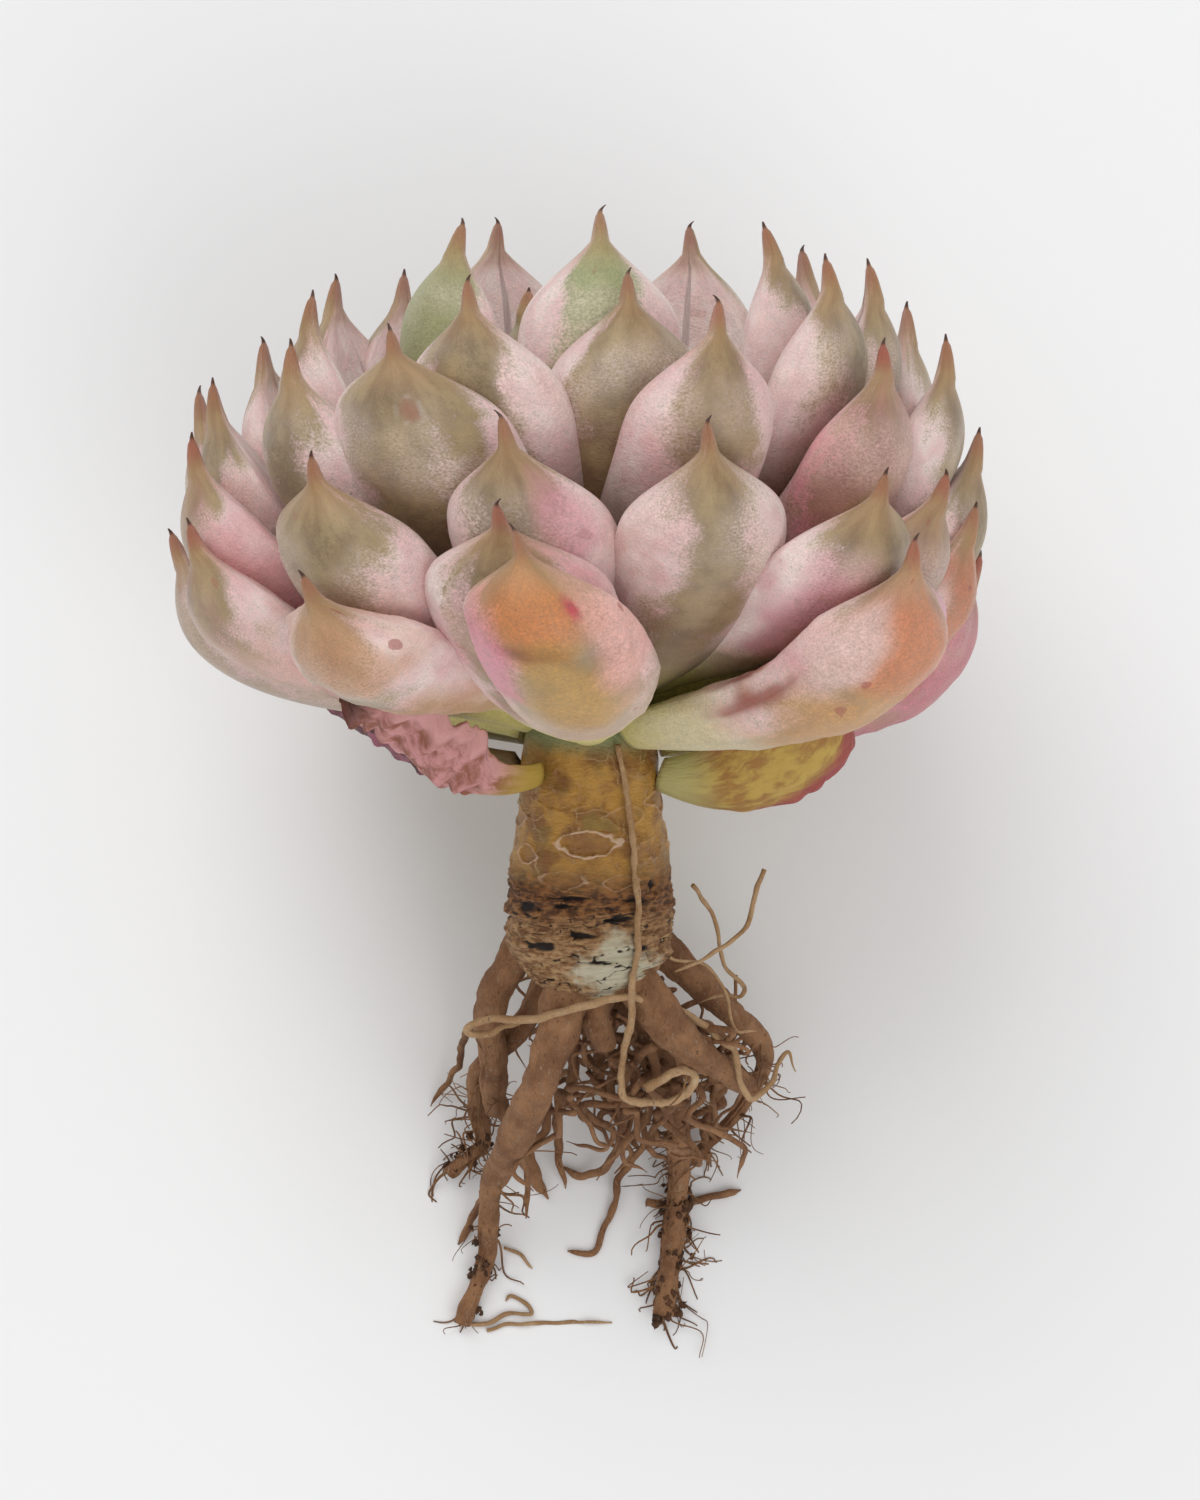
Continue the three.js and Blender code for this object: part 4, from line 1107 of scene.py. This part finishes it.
# %% Root material
def root_finish(name, light, dark, dust_and_highlight, crevice_shade):
    finish = Finish(name)
    place = carried(finish, "place")
    cloud = grain(finish, place, 0.25, 4.0)
    fine = grain(finish, stretched(finish, place, (1.3, 1.3, 0.7)), 1.2, 6.0, 0.75)
    skin = layered(
        finish, light,
        ((0.5 * cloud + 0.5 * fine).step(0.4, 0.6), dark),
        # Pale on the high points of the grain that also makes the bump: partly soil dust, partly painted
        # highlight.
        (fine.step(0.54, 0.68) * 0.6, dust_and_highlight),
        # Dark in the low points of that grain: painted crevice shade.
        (fine.step(0.44, 0.34) * 0.75, crevice_shade))
    return finish.coated(skin, 0.7 + 0.2 * fine, fine, 0.0007)


# The objects that wear each material, and its light and dark colours, its pale colour of dust and painted
# highlight, and its painted crevice shade.
ROOT_LOOKS = {
    "woody_root": (roots + [side_roots, curls], (178, 130, 90), (130, 86, 54), (200, 170, 136), (74, 46, 28)),
    "fine_root": ([tangle], (170, 122, 78), (118, 78, 46), (200, 162, 120), (68, 42, 26)),
    "dry_strand": ([strands, stem_strand], (216, 178, 134), (178, 136, 92), (232, 206, 170), (120, 82, 52)),
    "dry_soil": ([crumbs], (112, 72, 42), (70, 44, 26), (146, 100, 62), (38, 24, 16)),
}
for name, (wearers, *tones) in ROOT_LOOKS.items():
    material = root_finish(name, *(colour(*tone) for tone in tones))
    for obj in wearers:
        wear(obj, material)

# %% [markdown]
# ## Table, light and camera
# A plain pale sheet under the plant, a wide soft sky and two large panels, one on either side, give the
# even light of a studio. The camera looks down almost square to the stem from about half a metre, with a
# long lens, so the leaves keep their proportions.

# %% Stage
floor_mesh = bpy.data.meshes.new("table")
TABLE_HALF = 3.0
TABLE_COLOUR = (0.935, 0.94, 0.945, 1)
table_corners = [(x * TABLE_HALF, y * TABLE_HALF, 0) for x, y in ((-1, -1), (1, -1), (1, 1), (-1, 1))]
floor_mesh.from_pydata(table_corners, [], [(0, 1, 2, 3)])
floor = bpy.data.objects.new("table", floor_mesh)
bpy.context.collection.objects.link(floor)
wear(floor, Finish("pale_table", Roughness=0.9, Base_Color=TABLE_COLOUR).material)

# %% Light
SKY_STRENGTH = 0.6
PANEL_SIZE = 1.5
world = bpy.data.worlds.new("soft_sky")
world.use_nodes = True
world.node_tree.nodes["Background"].inputs["Color"].default_value = (1, 1, 1, 1)
world.node_tree.nodes["Background"].inputs["Strength"].default_value = SKY_STRENGTH
scene = bpy.context.scene
scene.world = world
scene.view_settings.view_transform = "Standard"


def soft_panel(name, place, power):
    """A square area light that faces the rosette."""
    light = bpy.data.lights.new(name, "AREA")
    light.shape = "SQUARE"
    light.size = PANEL_SIZE
    light.energy = power
    panel = bpy.data.objects.new(name, light)
    bpy.context.collection.objects.link(panel)
    panel.location = place
    panel.rotation_euler = (Vector(ROSETTE_FOOT) - Vector(place)).to_track_quat("-Z", "Y").to_euler()


soft_panel("key_panel", (-0.6, 1.2, 1.5), 14)
soft_panel("fill_panel", (0.8, -1.3, 1.5), 11)

# %% Camera
CAMERA_ASIDE = 1.1 * MM
CAMERA_ELEVATION = math.radians(6.8)
CAMERA_DISTANCE = 477.3 * MM
ROSETTE_MIDDLE = ROSETTE_FOOT + 30 * MM * ALONG
SENSOR_WIDTH = 36
LENS = 129
aim = ROSETTE_FOOT + 1.0 * MM * ALONG + CAMERA_ASIDE * SIDEWAYS
towards_camera = math.sin(CAMERA_ELEVATION) * ALONG - math.cos(CAMERA_ELEVATION) * BACK
camera_place = ROSETTE_MIDDLE + CAMERA_DISTANCE * towards_camera + CAMERA_ASIDE * SIDEWAYS
camera_data = bpy.data.cameras.new("camera")
camera_data.sensor_fit = "HORIZONTAL"
camera_data.sensor_width = SENSOR_WIDTH
camera_data.lens = LENS
camera = bpy.data.objects.new("camera", camera_data)
bpy.context.collection.objects.link(camera)
camera.location = camera_place
camera.rotation_euler = Vector(aim - camera_place).to_track_quat("-Z", "Y").to_euler()
scene.camera = camera
print("camera, metres:", camera_place.round(3))
